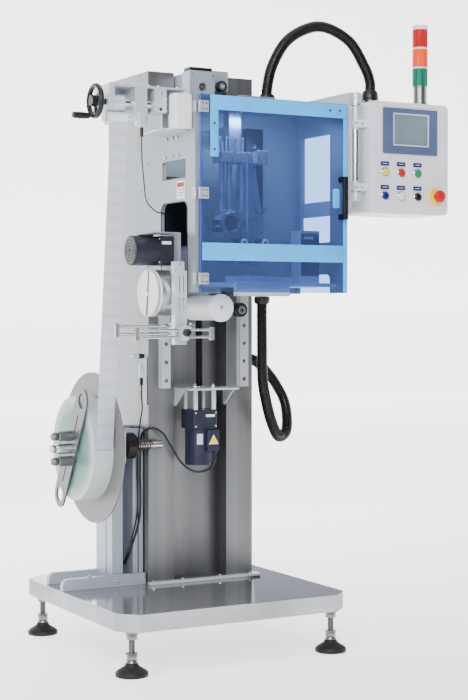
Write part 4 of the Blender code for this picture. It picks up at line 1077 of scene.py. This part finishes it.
def add_cross_slide_details():
    screws = Pieces("cross_slide_screws", "chrome_parts", "head")
    for x in (-0.376, -0.335, -0.279, -0.245, -0.2135, -0.15):
        screws.socket_screw("z", (x, -0.255), 0.0046, 1.7702, 1)
    for x in (-0.279, -0.2135):
        screws.socket_screw("y", (x, 1.75), 0.0042, -0.2722, -1)
    screws.done()
    # A thin dark disc in the block's hole: painted shade.
    Pieces("block_hole_shade", "dark_inside", "head", "black_plastic").rod(
        "y", (-0.2135, 1.702), 0.005, -0.2726, -0.272, 20).done()
    spindle = Pieces("cross_spindle", "chrome_parts", "head")
    spindle.turned("x", WHEEL_AXIS, [(0.0097, -0.331), (0.015, -0.33), (0.015, -0.315), (0.0097, -0.314)],
                   32)
    spindle.turned("x", WHEEL_AXIS, [(0.0097, -0.258), (0.0135, -0.2575), (0.0135, -0.235),
                                     (0.0097, -0.2345)], 32)
    spindle.done()
    tyre = Pieces("handwheel_tyre", "black_plastic", "handwheel")
    rim = [(0.0465 + 0.0068 * math.cos(math.radians(a)),
            -0.421 + 0.0082 * math.sin(math.radians(a))) for a in range(0, 360, 30)]
    tyre.turned("x", WHEEL_AXIS, rim, 56)
    tyre.done()
    Pieces("cross_shaft", "chrome_parts", "handwheel").ring(
        "x", WHEEL_AXIS, 0.0086, 0.0093, -0.37, -0.179, 32).done()
    Pieces("slide_sensor", "copper_band", "head", "black_plastic").rod(
        "z", (-0.279, -0.274), 0.0062, 1.66, 1.684, 20, 0.0008).done()
    Pieces("slide_sensor_plug", "black_plastic", "head").rod(
        "z", (-0.279, -0.274), 0.0055, 1.615, 1.643, 20, 0.001).done()
    Pieces("shelf_plate", "label_white", "head", "white_plastic").box(
        -0.206, -0.18, -0.2856, -0.285, 1.6405, 1.6435).done()
    points = [(-0.279, -0.274, 1.617), (-0.279, -0.2735, 1.59), (-0.272, -0.262, 1.545),
              (-0.254, -0.238, 1.48), (-0.228, -0.2, 1.43), (-0.19, -0.16, 1.41), (-0.15, -0.12, 1.4),
              (-0.11, -0.1, 1.398)]
    add_lead("slide_sensor_lead", points, 90, 0.002, 10, "head", "limp")


def add_guard_inside():
    """The dark parts by the back wall that show through the tinted door."""
    dark = Pieces("tool_clamps", "black_steel", "head")
    dark.box(0.0, 0.034, -0.215, -0.206, 1.338, 1.376, 0.0015)
    dark.rod("y", (0.055, 1.366), 0.0245, -0.204, -0.214, 32)
    dark.box(-0.09, -0.01, -0.06, -0.036, 1.3, 1.52, 0.002)
    dark.box(0.205, 0.27, -0.06, -0.036, 1.33, 1.69, 0.002)
    dark.done()
    rims = Pieces("tool_rings", "chrome_parts", "head")
    rims.ring("y", (0.055, 1.366), 0.027, 0.0345, -0.2372, -0.235, 48)
    rims.ring("y", (0.15, 1.612), 0.003, 0.0075, -0.213, -0.208, 24)
    rims.box(-0.004, 0.028, -0.2172, -0.2152, 1.352, 1.357)
    for x in (0.034, 0.058, 0.09, 0.118):
        rims.rod("z", (x, -0.1925), 0.0045, 1.592, 1.64, 16, 0.0006)
    rims.done()
    for side, x in (("left", 0.104), ("right", 0.18)):
        Pieces("pinch_face_" + side, "white_plastic", "pinch_roller_" + side).turned(
            "y", (x, 1.306), [(0.005, -0.2296), (0.0118, -0.2296), (0.0134, -0.2284), (0.0134, -0.2276),
                              (0.005, -0.2276)], 32).done()
    cable = Pieces("tool_tube", "black_plastic", "head")
    route, _ = smooth_route([(0.15, -0.212, 1.42), (0.158, -0.222, 1.396), (0.176, -0.224, 1.41),
                             (0.205, -0.2, 1.418), (0.24, -0.12, 1.42), (0.262, -0.058, 1.42)], 50)
    cable.tube_along(route, 0.002, 8)
    cable.done()
    Pieces("drive_cover", "motor_paint", "head").box(
        0.2765, 0.3435, -0.2925, -0.2895, 1.2, 1.335, 0.001).done()
    Pieces("drive_strip", "label_silver", "head", "white_plastic").box(
        0.284, 0.32, -0.2932, -0.2925, 1.318, 1.326).done()
    Pieces("cutter_front", "anodised_plate", "head").box(
        0.036, 0.223, -0.3062, -0.305, 1.138, 1.179, 0.0008).done()
    nuts = Pieces("cutter_screws", "chrome_parts", "head")
    for x in (0.02, 0.09, 0.17, 0.236):
        nuts.socket_screw("z", (x, -0.277), 0.0042, 1.1962, 1)
    for a in range(6):
        t = math.radians(60 * a)
        nuts.socket_screw("z", (0.13 + 0.0535 * math.cos(t), -0.18 + 0.0535 * math.sin(t)), 0.003, 1.2002,
                          1)
    nuts.done()
    roof = Pieces("roof_fittings", "black_plastic", "head")
    roof.rod("z", ROOF_GLAND, 0.0245, 1.7665, 1.78, 28, 0.002)
    roof.rod("z", (0.3, -0.19), 0.008, 1.7475, 1.762, 20, 0.001)
    roof.done()
    gland = Pieces("head_glands", "black_plastic", "head")
    gland.turned("z", ROOF_GLAND, [(0.019, 1.7672), (0.0262, 1.7672), (0.0262, 1.779), (0.023, 1.79),
                                   (0.019, 1.79)], 32)
    gland.turned("z", LOWER_GLAND, [(0.019, 1.1355), (0.0262, 1.1355), (0.0262, 1.123), (0.0225, 1.112),
                                    (0.019, 1.112)], 32)
    gland.done()


def add_plate_backs():
    """Bolts of the back plate and of the carriage's linear blocks, which the back view shows."""
    bolts = Pieces("carriage_bolts", "chrome_parts", "head")
    for x in (-0.095, 0.14, 0.32, 0.395):
        for z in (1.2, 1.45, 1.7):
            bolts.socket_screw("y", (x, z), 0.0045, -0.0218, 1)
    for z in (1.2, 1.33, 1.45, 1.58, 1.7):
        bolts.socket_screw("x", (0.02, z), 0.0045, RIGHT_FACE + (0.012 if z > 1.395 else 0.0), 1)
    for z in (1.42, 1.59, 1.77):
        for y in (-0.29, -0.03, 0.02):
            bolts.socket_screw("x", (y, z), 0.0045, 0.4382, 1)
    bolts.done()


# ---------------------------------------------------------------- door
def add_door():
    x0, x1, y0, y1 = -0.112, 0.419, -0.341, -0.3335
    z0, z1 = 1.146, 1.749
    Pieces("door_sheet", "blue_acrylic", "door").box(
        x0, x1, y0, y1, z0, z1, 0.0008).done("door_panel", smooth=False)
    bands = Pieces("door_bands", "band_blue", "door", "blue_acrylic")
    bands.box(-0.08, x1 - 0.001, y0 - 0.0022, y0 - 0.0002, 1.703, z1 - 0.001, 0.0006)
    bands.box(-0.108, x1 - 0.018, y0 - 0.0022, y0 - 0.0002, 1.243, 1.297, 0.0006)
    bands.box(-0.08, -0.052, y0 - 0.0022, y0 - 0.0002, 1.56, 1.7025, 0.0006)
    bands.box(x1 - 0.017, x1 - 0.001, y0 - 0.0021, y0 - 0.0002, z0 + 0.001, 1.702, 0.0006)
    bands.box(-0.1118, -0.1035, y1 + 0.0002, y1 + 0.002, z0 + 0.001, 1.558, 0.0004)
    bands.done()
    edge = Pieces("door_edge", "violet_edge", "door", "blue_acrylic")
    edge.box(-0.112, 0.419, y0 - 0.0012, y0 - 0.0003, 1.7484, 1.749)
    edge.box(-0.1128, -0.1121, y0, y1, z0 + 0.001, z1 - 0.001)
    edge.done()
    dots = Pieces("door_band_screws", "dark_slot", "door", "black_plastic")
    for x, z in ((0.352, 1.726), (0.389, 1.727), (-0.066, 1.662), (-0.066, 1.582)):
        y = y0 - 0.003
        dots.turned("y", (x, z), [(0, y), (0.0034, y), (0.004, y + 0.0008), (0, y + 0.0008)], 20)
    dots.done()
    screws = Pieces("hinge_screws", "dark_slot", "door", "chrome_parts")
    for z in (1.187, 1.448, 1.711):
        for dz in (-0.009, 0.009):
            for x in (-0.094, -0.106):
                screws.turned("y", (x, z + dz), [(0, -0.3453), (0.0022, -0.3453), (0.0027, -0.3441),
                                                 (0, -0.3441)], 16)
    screws.done()
    Pieces("door_latch", "band_blue", "door", "blue_acrylic").prism(
        rounded(0.362, 0.3825, 1.416, 1.478, 0.006), "y", y0 - 0.01, y0 - 0.0003, 0.001).done()
    frame_leaves = Pieces("hinge_frame_leaves", "hinge_steel", "head", "chrome_parts")
    for z in (1.187, 1.448, 1.711):
        frame_leaves.box(-0.1284, -0.1262, -0.3385, -0.316, z - 0.0175, z + 0.0175, 0.0005)
    frame_leaves.done()


# ---------------------------------------------------------------- control box
BUTTONS = {
    "button_yellow": (0.557, 1.539),
    "button_red": (0.6205, 1.539),
    "button_green": (0.686, 1.539),
    "button_blue": (0.557, 1.4625),
    "button_white": (0.6205, 1.4625),
    "button_black": (0.686, 1.4625),
}
BOX_FRONT = -0.35


def add_control_box():
    bezels = Pieces("button_bezels", "chrome_parts", "control_box")
    plates = Pieces("button_plates", "label_plate", "control_box", "panel_bezel")
    marks = Pieces("button_plate_marks", "label_white", "control_box", "white_plastic")
    for x, z in BUTTONS.values():
        bezels.turned("y", (x, z), [(0.0128, BOX_FRONT - 0.0052), (0.0144, BOX_FRONT - 0.0056),
                                    (0.016, BOX_FRONT - 0.0045), (0.0166, BOX_FRONT - 0.0004),
                                    (0.0128, BOX_FRONT - 0.0004)], 48)
        plates.prism(rounded(x - 0.0165, x + 0.0165, z + 0.0205, z + 0.0345, 0.0015), "y",
                     BOX_FRONT - 0.0014, BOX_FRONT - 0.0003)
        marks.box(x - 0.0095, x + 0.0095, BOX_FRONT - 0.0017, BOX_FRONT - 0.0014, z + 0.0268, z + 0.0282)
    bezels.done()
    plates.done()
    marks.done()
    Pieces("stop_plate", "stop_ring", "control_box", "white_plastic").turned(
        "y", STOP_BUTTON, [(0.01, BOX_FRONT - 0.006), (0.027, BOX_FRONT - 0.006),
                           (0.0285, BOX_FRONT - 0.0045), (0.0285, BOX_FRONT - 0.0003),
                           (0.01, BOX_FRONT - 0.0003)], 48).done()
    cap = Pieces("stop_cap", "stop_red", "emergency_stop")
    f = BOX_FRONT
    cap.turned("y", STOP_BUTTON, [(0, f - 0.037), (0.008, f - 0.0368), (0.0145, f - 0.0352),
                                  (0.0185, f - 0.032), (0.0201, f - 0.028), (0.02, f - 0.023),
                                  (0.0185, f - 0.0205), (0.0125, f - 0.015), (0.0078, f - 0.0105),
                                  (0.0078, f + 0.005), (0, f + 0.005)], 48)
    cap.done("emergency_stop")
    screen_rim = Pieces("screen_rim", "screen_frame", "control_box", "panel_bezel")
    screen_rim.border("y", rounded(0.586, 0.728, 1.626, 1.732, 0.002),
                      rounded(0.5905, 0.7235, 1.6305, 1.7275, 0.001), f - 0.0068, f - 0.0035)
    screen_rim.done()
    Pieces("screen_glass", "screen", "control_box", "panel_bezel").box(
        0.589, 0.725, f - 0.0045, f - 0.0032, 1.629, 1.729).done()
    seam = Pieces("box_lid_seam", "dark_slot", "control_box", "black_plastic")
    seam.box(0.5025, 0.5031, -0.1915, -0.19, 1.424, 1.749)
    for z in (1.4048, 1.7682):
        seam.box(0.522, 0.791, -0.1915, -0.19, z - 0.0003, z + 0.0003)
    seam.done()
    screws = Pieces("box_screws", "chrome_parts", "control_box")
    for x in (0.524, 0.789):
        for z in (1.426, 1.747):
            screws.socket_screw("y", (x, z), 0.004, -0.1758, 1)
    for z in (1.488, 1.694):
        screws.socket_screw("y", (0.48, z), 0.0045, -0.3312, -1)
    screws.done()
    # Thin dark strips on the clamp stand in for its slots: painted shade.
    dark = Pieces("clamp_slot_shade", "dark_slot", "control_box", "black_plastic")
    for z in (1.488, 1.694):
        dark.box(0.4515, 0.466, -0.3318, -0.3308, z - 0.0012, z + 0.0012)
    dark.done()
    gland = Pieces("box_gland", "black_plastic", "control_box")
    gland.hex("z", BOX_GLAND, 0.0285, 1.7685, 1.779)
    gland.turned("z", BOX_GLAND, [(0.0192, 1.779), (0.0265, 1.779), (0.0272, 1.783), (0.0272, 1.796),
                                  (0.025, 1.806), (0.021, 1.812), (0.0192, 1.812)], 40)
    gland.done()


def add_stack():
    x, y = 0.753, -0.27
    Pieces("lamp_base", "stack_steel", "control_box", "chrome_parts").turned(
        "z", (x, y), [(0, 1.7685), (0.026, 1.7685), (0.026, 1.78), (0.0225, 1.7815), (0.0225, 1.835),
                      (0.0255, 1.8365), (0.0255, 1.8385), (0, 1.8385)], 48).done("stack_base")
    tiers = (("green", 1.839, 1.896), ("amber", 1.902, 1.961), ("red", 1.967, 2.026))
    for colour, low, high in tiers:
        lens = Pieces("lamp_" + colour, "lens_" + colour, "control_box", "lens_stack")
        profile = [(0, low), (0.025, low), (0.0258, low + 0.002)]
        steps = 9
        for i in range(steps):
            z = low + 0.004 + (high - low - 0.008) * i / steps
            pitch = (high - low - 0.008) / steps
            profile += [(0.0252, z), (0.0259, z + pitch / 2)]
        profile += [(0.0258, high - 0.002), (0.025, high), (0, high)]
        lens.turned("z", (x, y), profile, 48)
        lens.done(*["stack_lenses"] if colour == "red" else [])
    gaps = Pieces("lamp_gaps", "white_plastic", "control_box")
    for low in (1.896, 1.961):
        gaps.rod("z", (x, y), 0.0238, low, low + 0.006, 48)
    gaps.turned("z", (x, y), [(0, 2.026), (0.0252, 2.026), (0.0258, 2.028), (0.0256, 2.036),
                              (0.0235, 2.0405), (0.015, 2.0418), (0, 2.042)], 48)
    gaps.done()


def add_arm_details():
    collars = Pieces("pole_collars", "chrome_parts", "head")
    for z in (1.754, 1.4725):
        collars.ring("z", POLE, 0.0122, 0.0205, z - 0.002, z + 0.0015, 40)
    collars.turned("z", POLE, [(0, 1.7902), (0.0165, 1.7902), (0.0155, 1.7925), (0, 1.793)], 40)
    collars.done()
    Pieces("pole_sleeve", "chrome_parts", "head").ring("z", POLE, 0.012, 0.01235, 1.508, 1.674, 40).done()


# ---------------------------------------------------------------- CAD nodes that stay
def dress_nodes():
    """Gives every CAD node the finish of its material slot in the record, or the finish listed for it in
    others.
    """
    slots = {entry["node"]: entry["material_slot"] for entry in frame["record"]["subparts"]}
    others = {"head_left_plate": "grey_plate", "head_right_plate": "grey_plate",
              "head_carriage": "grey_plate", "feed_plate": "grey_plate", "stack_lenses": "lens_red",
              "reel_arm": "arm_steel", "door_hinge_1": "hinge_steel", "door_hinge_2": "hinge_steel",
              "door_hinge_3": "hinge_steel", "rail_left": "rail_steel", "rail_right": "rail_steel",
              "motor_bracket": "rail_steel"}
    for name, obj in nodes.items():
        material = MAT[others.get(name, slots[name])]
        obj.data.materials.clear()
        obj.data.materials.append(material)


def add_floor():
    bm = bmesh.new()
    reach = 13.0    # the floor's front edge and the wall stand behind every view's camera
    bend = 1.2
    rise = 6.0
    side = 15.0
    profile = [(-reach, 0.0), (reach - bend, 0.0)]
    for i in range(1, 13):
        t = math.radians(90 * i / 12)
        profile.append((reach - bend + bend * math.sin(t), bend - bend * math.cos(t)))
    profile.append((reach, rise))
    rows = [[bm.verts.new((x, y, z - 0.0004)) for x in (-side, side)] for y, z in profile]
    for a, b in zip(rows, rows[1:]):
        bm.faces.new((a[0], a[1], b[1], b[0]))
    mesh = bpy.data.meshes.new("studio_floor")
    bm.to_mesh(mesh)
    bm.free()
    mesh.shade_smooth()
    floor = bpy.data.objects.new("studio_floor", mesh)
    bpy.context.scene.collection.objects.link(floor)
    material, tree, shader = new_material("studio_paper", (0.93, 0.93, 0.93), 0.75)
    shader.inputs["Emission Color"].default_value = (1, 1, 1, 1)
    tree.links.new(spread(tree, along(tree, "Y"), 0.45, 2.7, -1.6, 2.4), shader.inputs["Emission Strength"])
    mesh.materials.append(material)


add_camera()
add_lights()
dress_nodes()
add_cables()
add_feet()
add_base_details()
add_rails()
add_lead_screw()
add_lift_details()
add_column_details()
add_reel_details()
add_photo_eye()
add_film()
add_left_plate_details()
add_feed_details()
add_under_head_details()
add_cross_slide_details()
add_guard_inside()
add_plate_backs()
add_door()
add_control_box()
add_stack()
add_arm_details()
add_floor()


def plain(corners):
    return [[round(float(value), 6) for value in recess_shade] for recess_shade in corners]
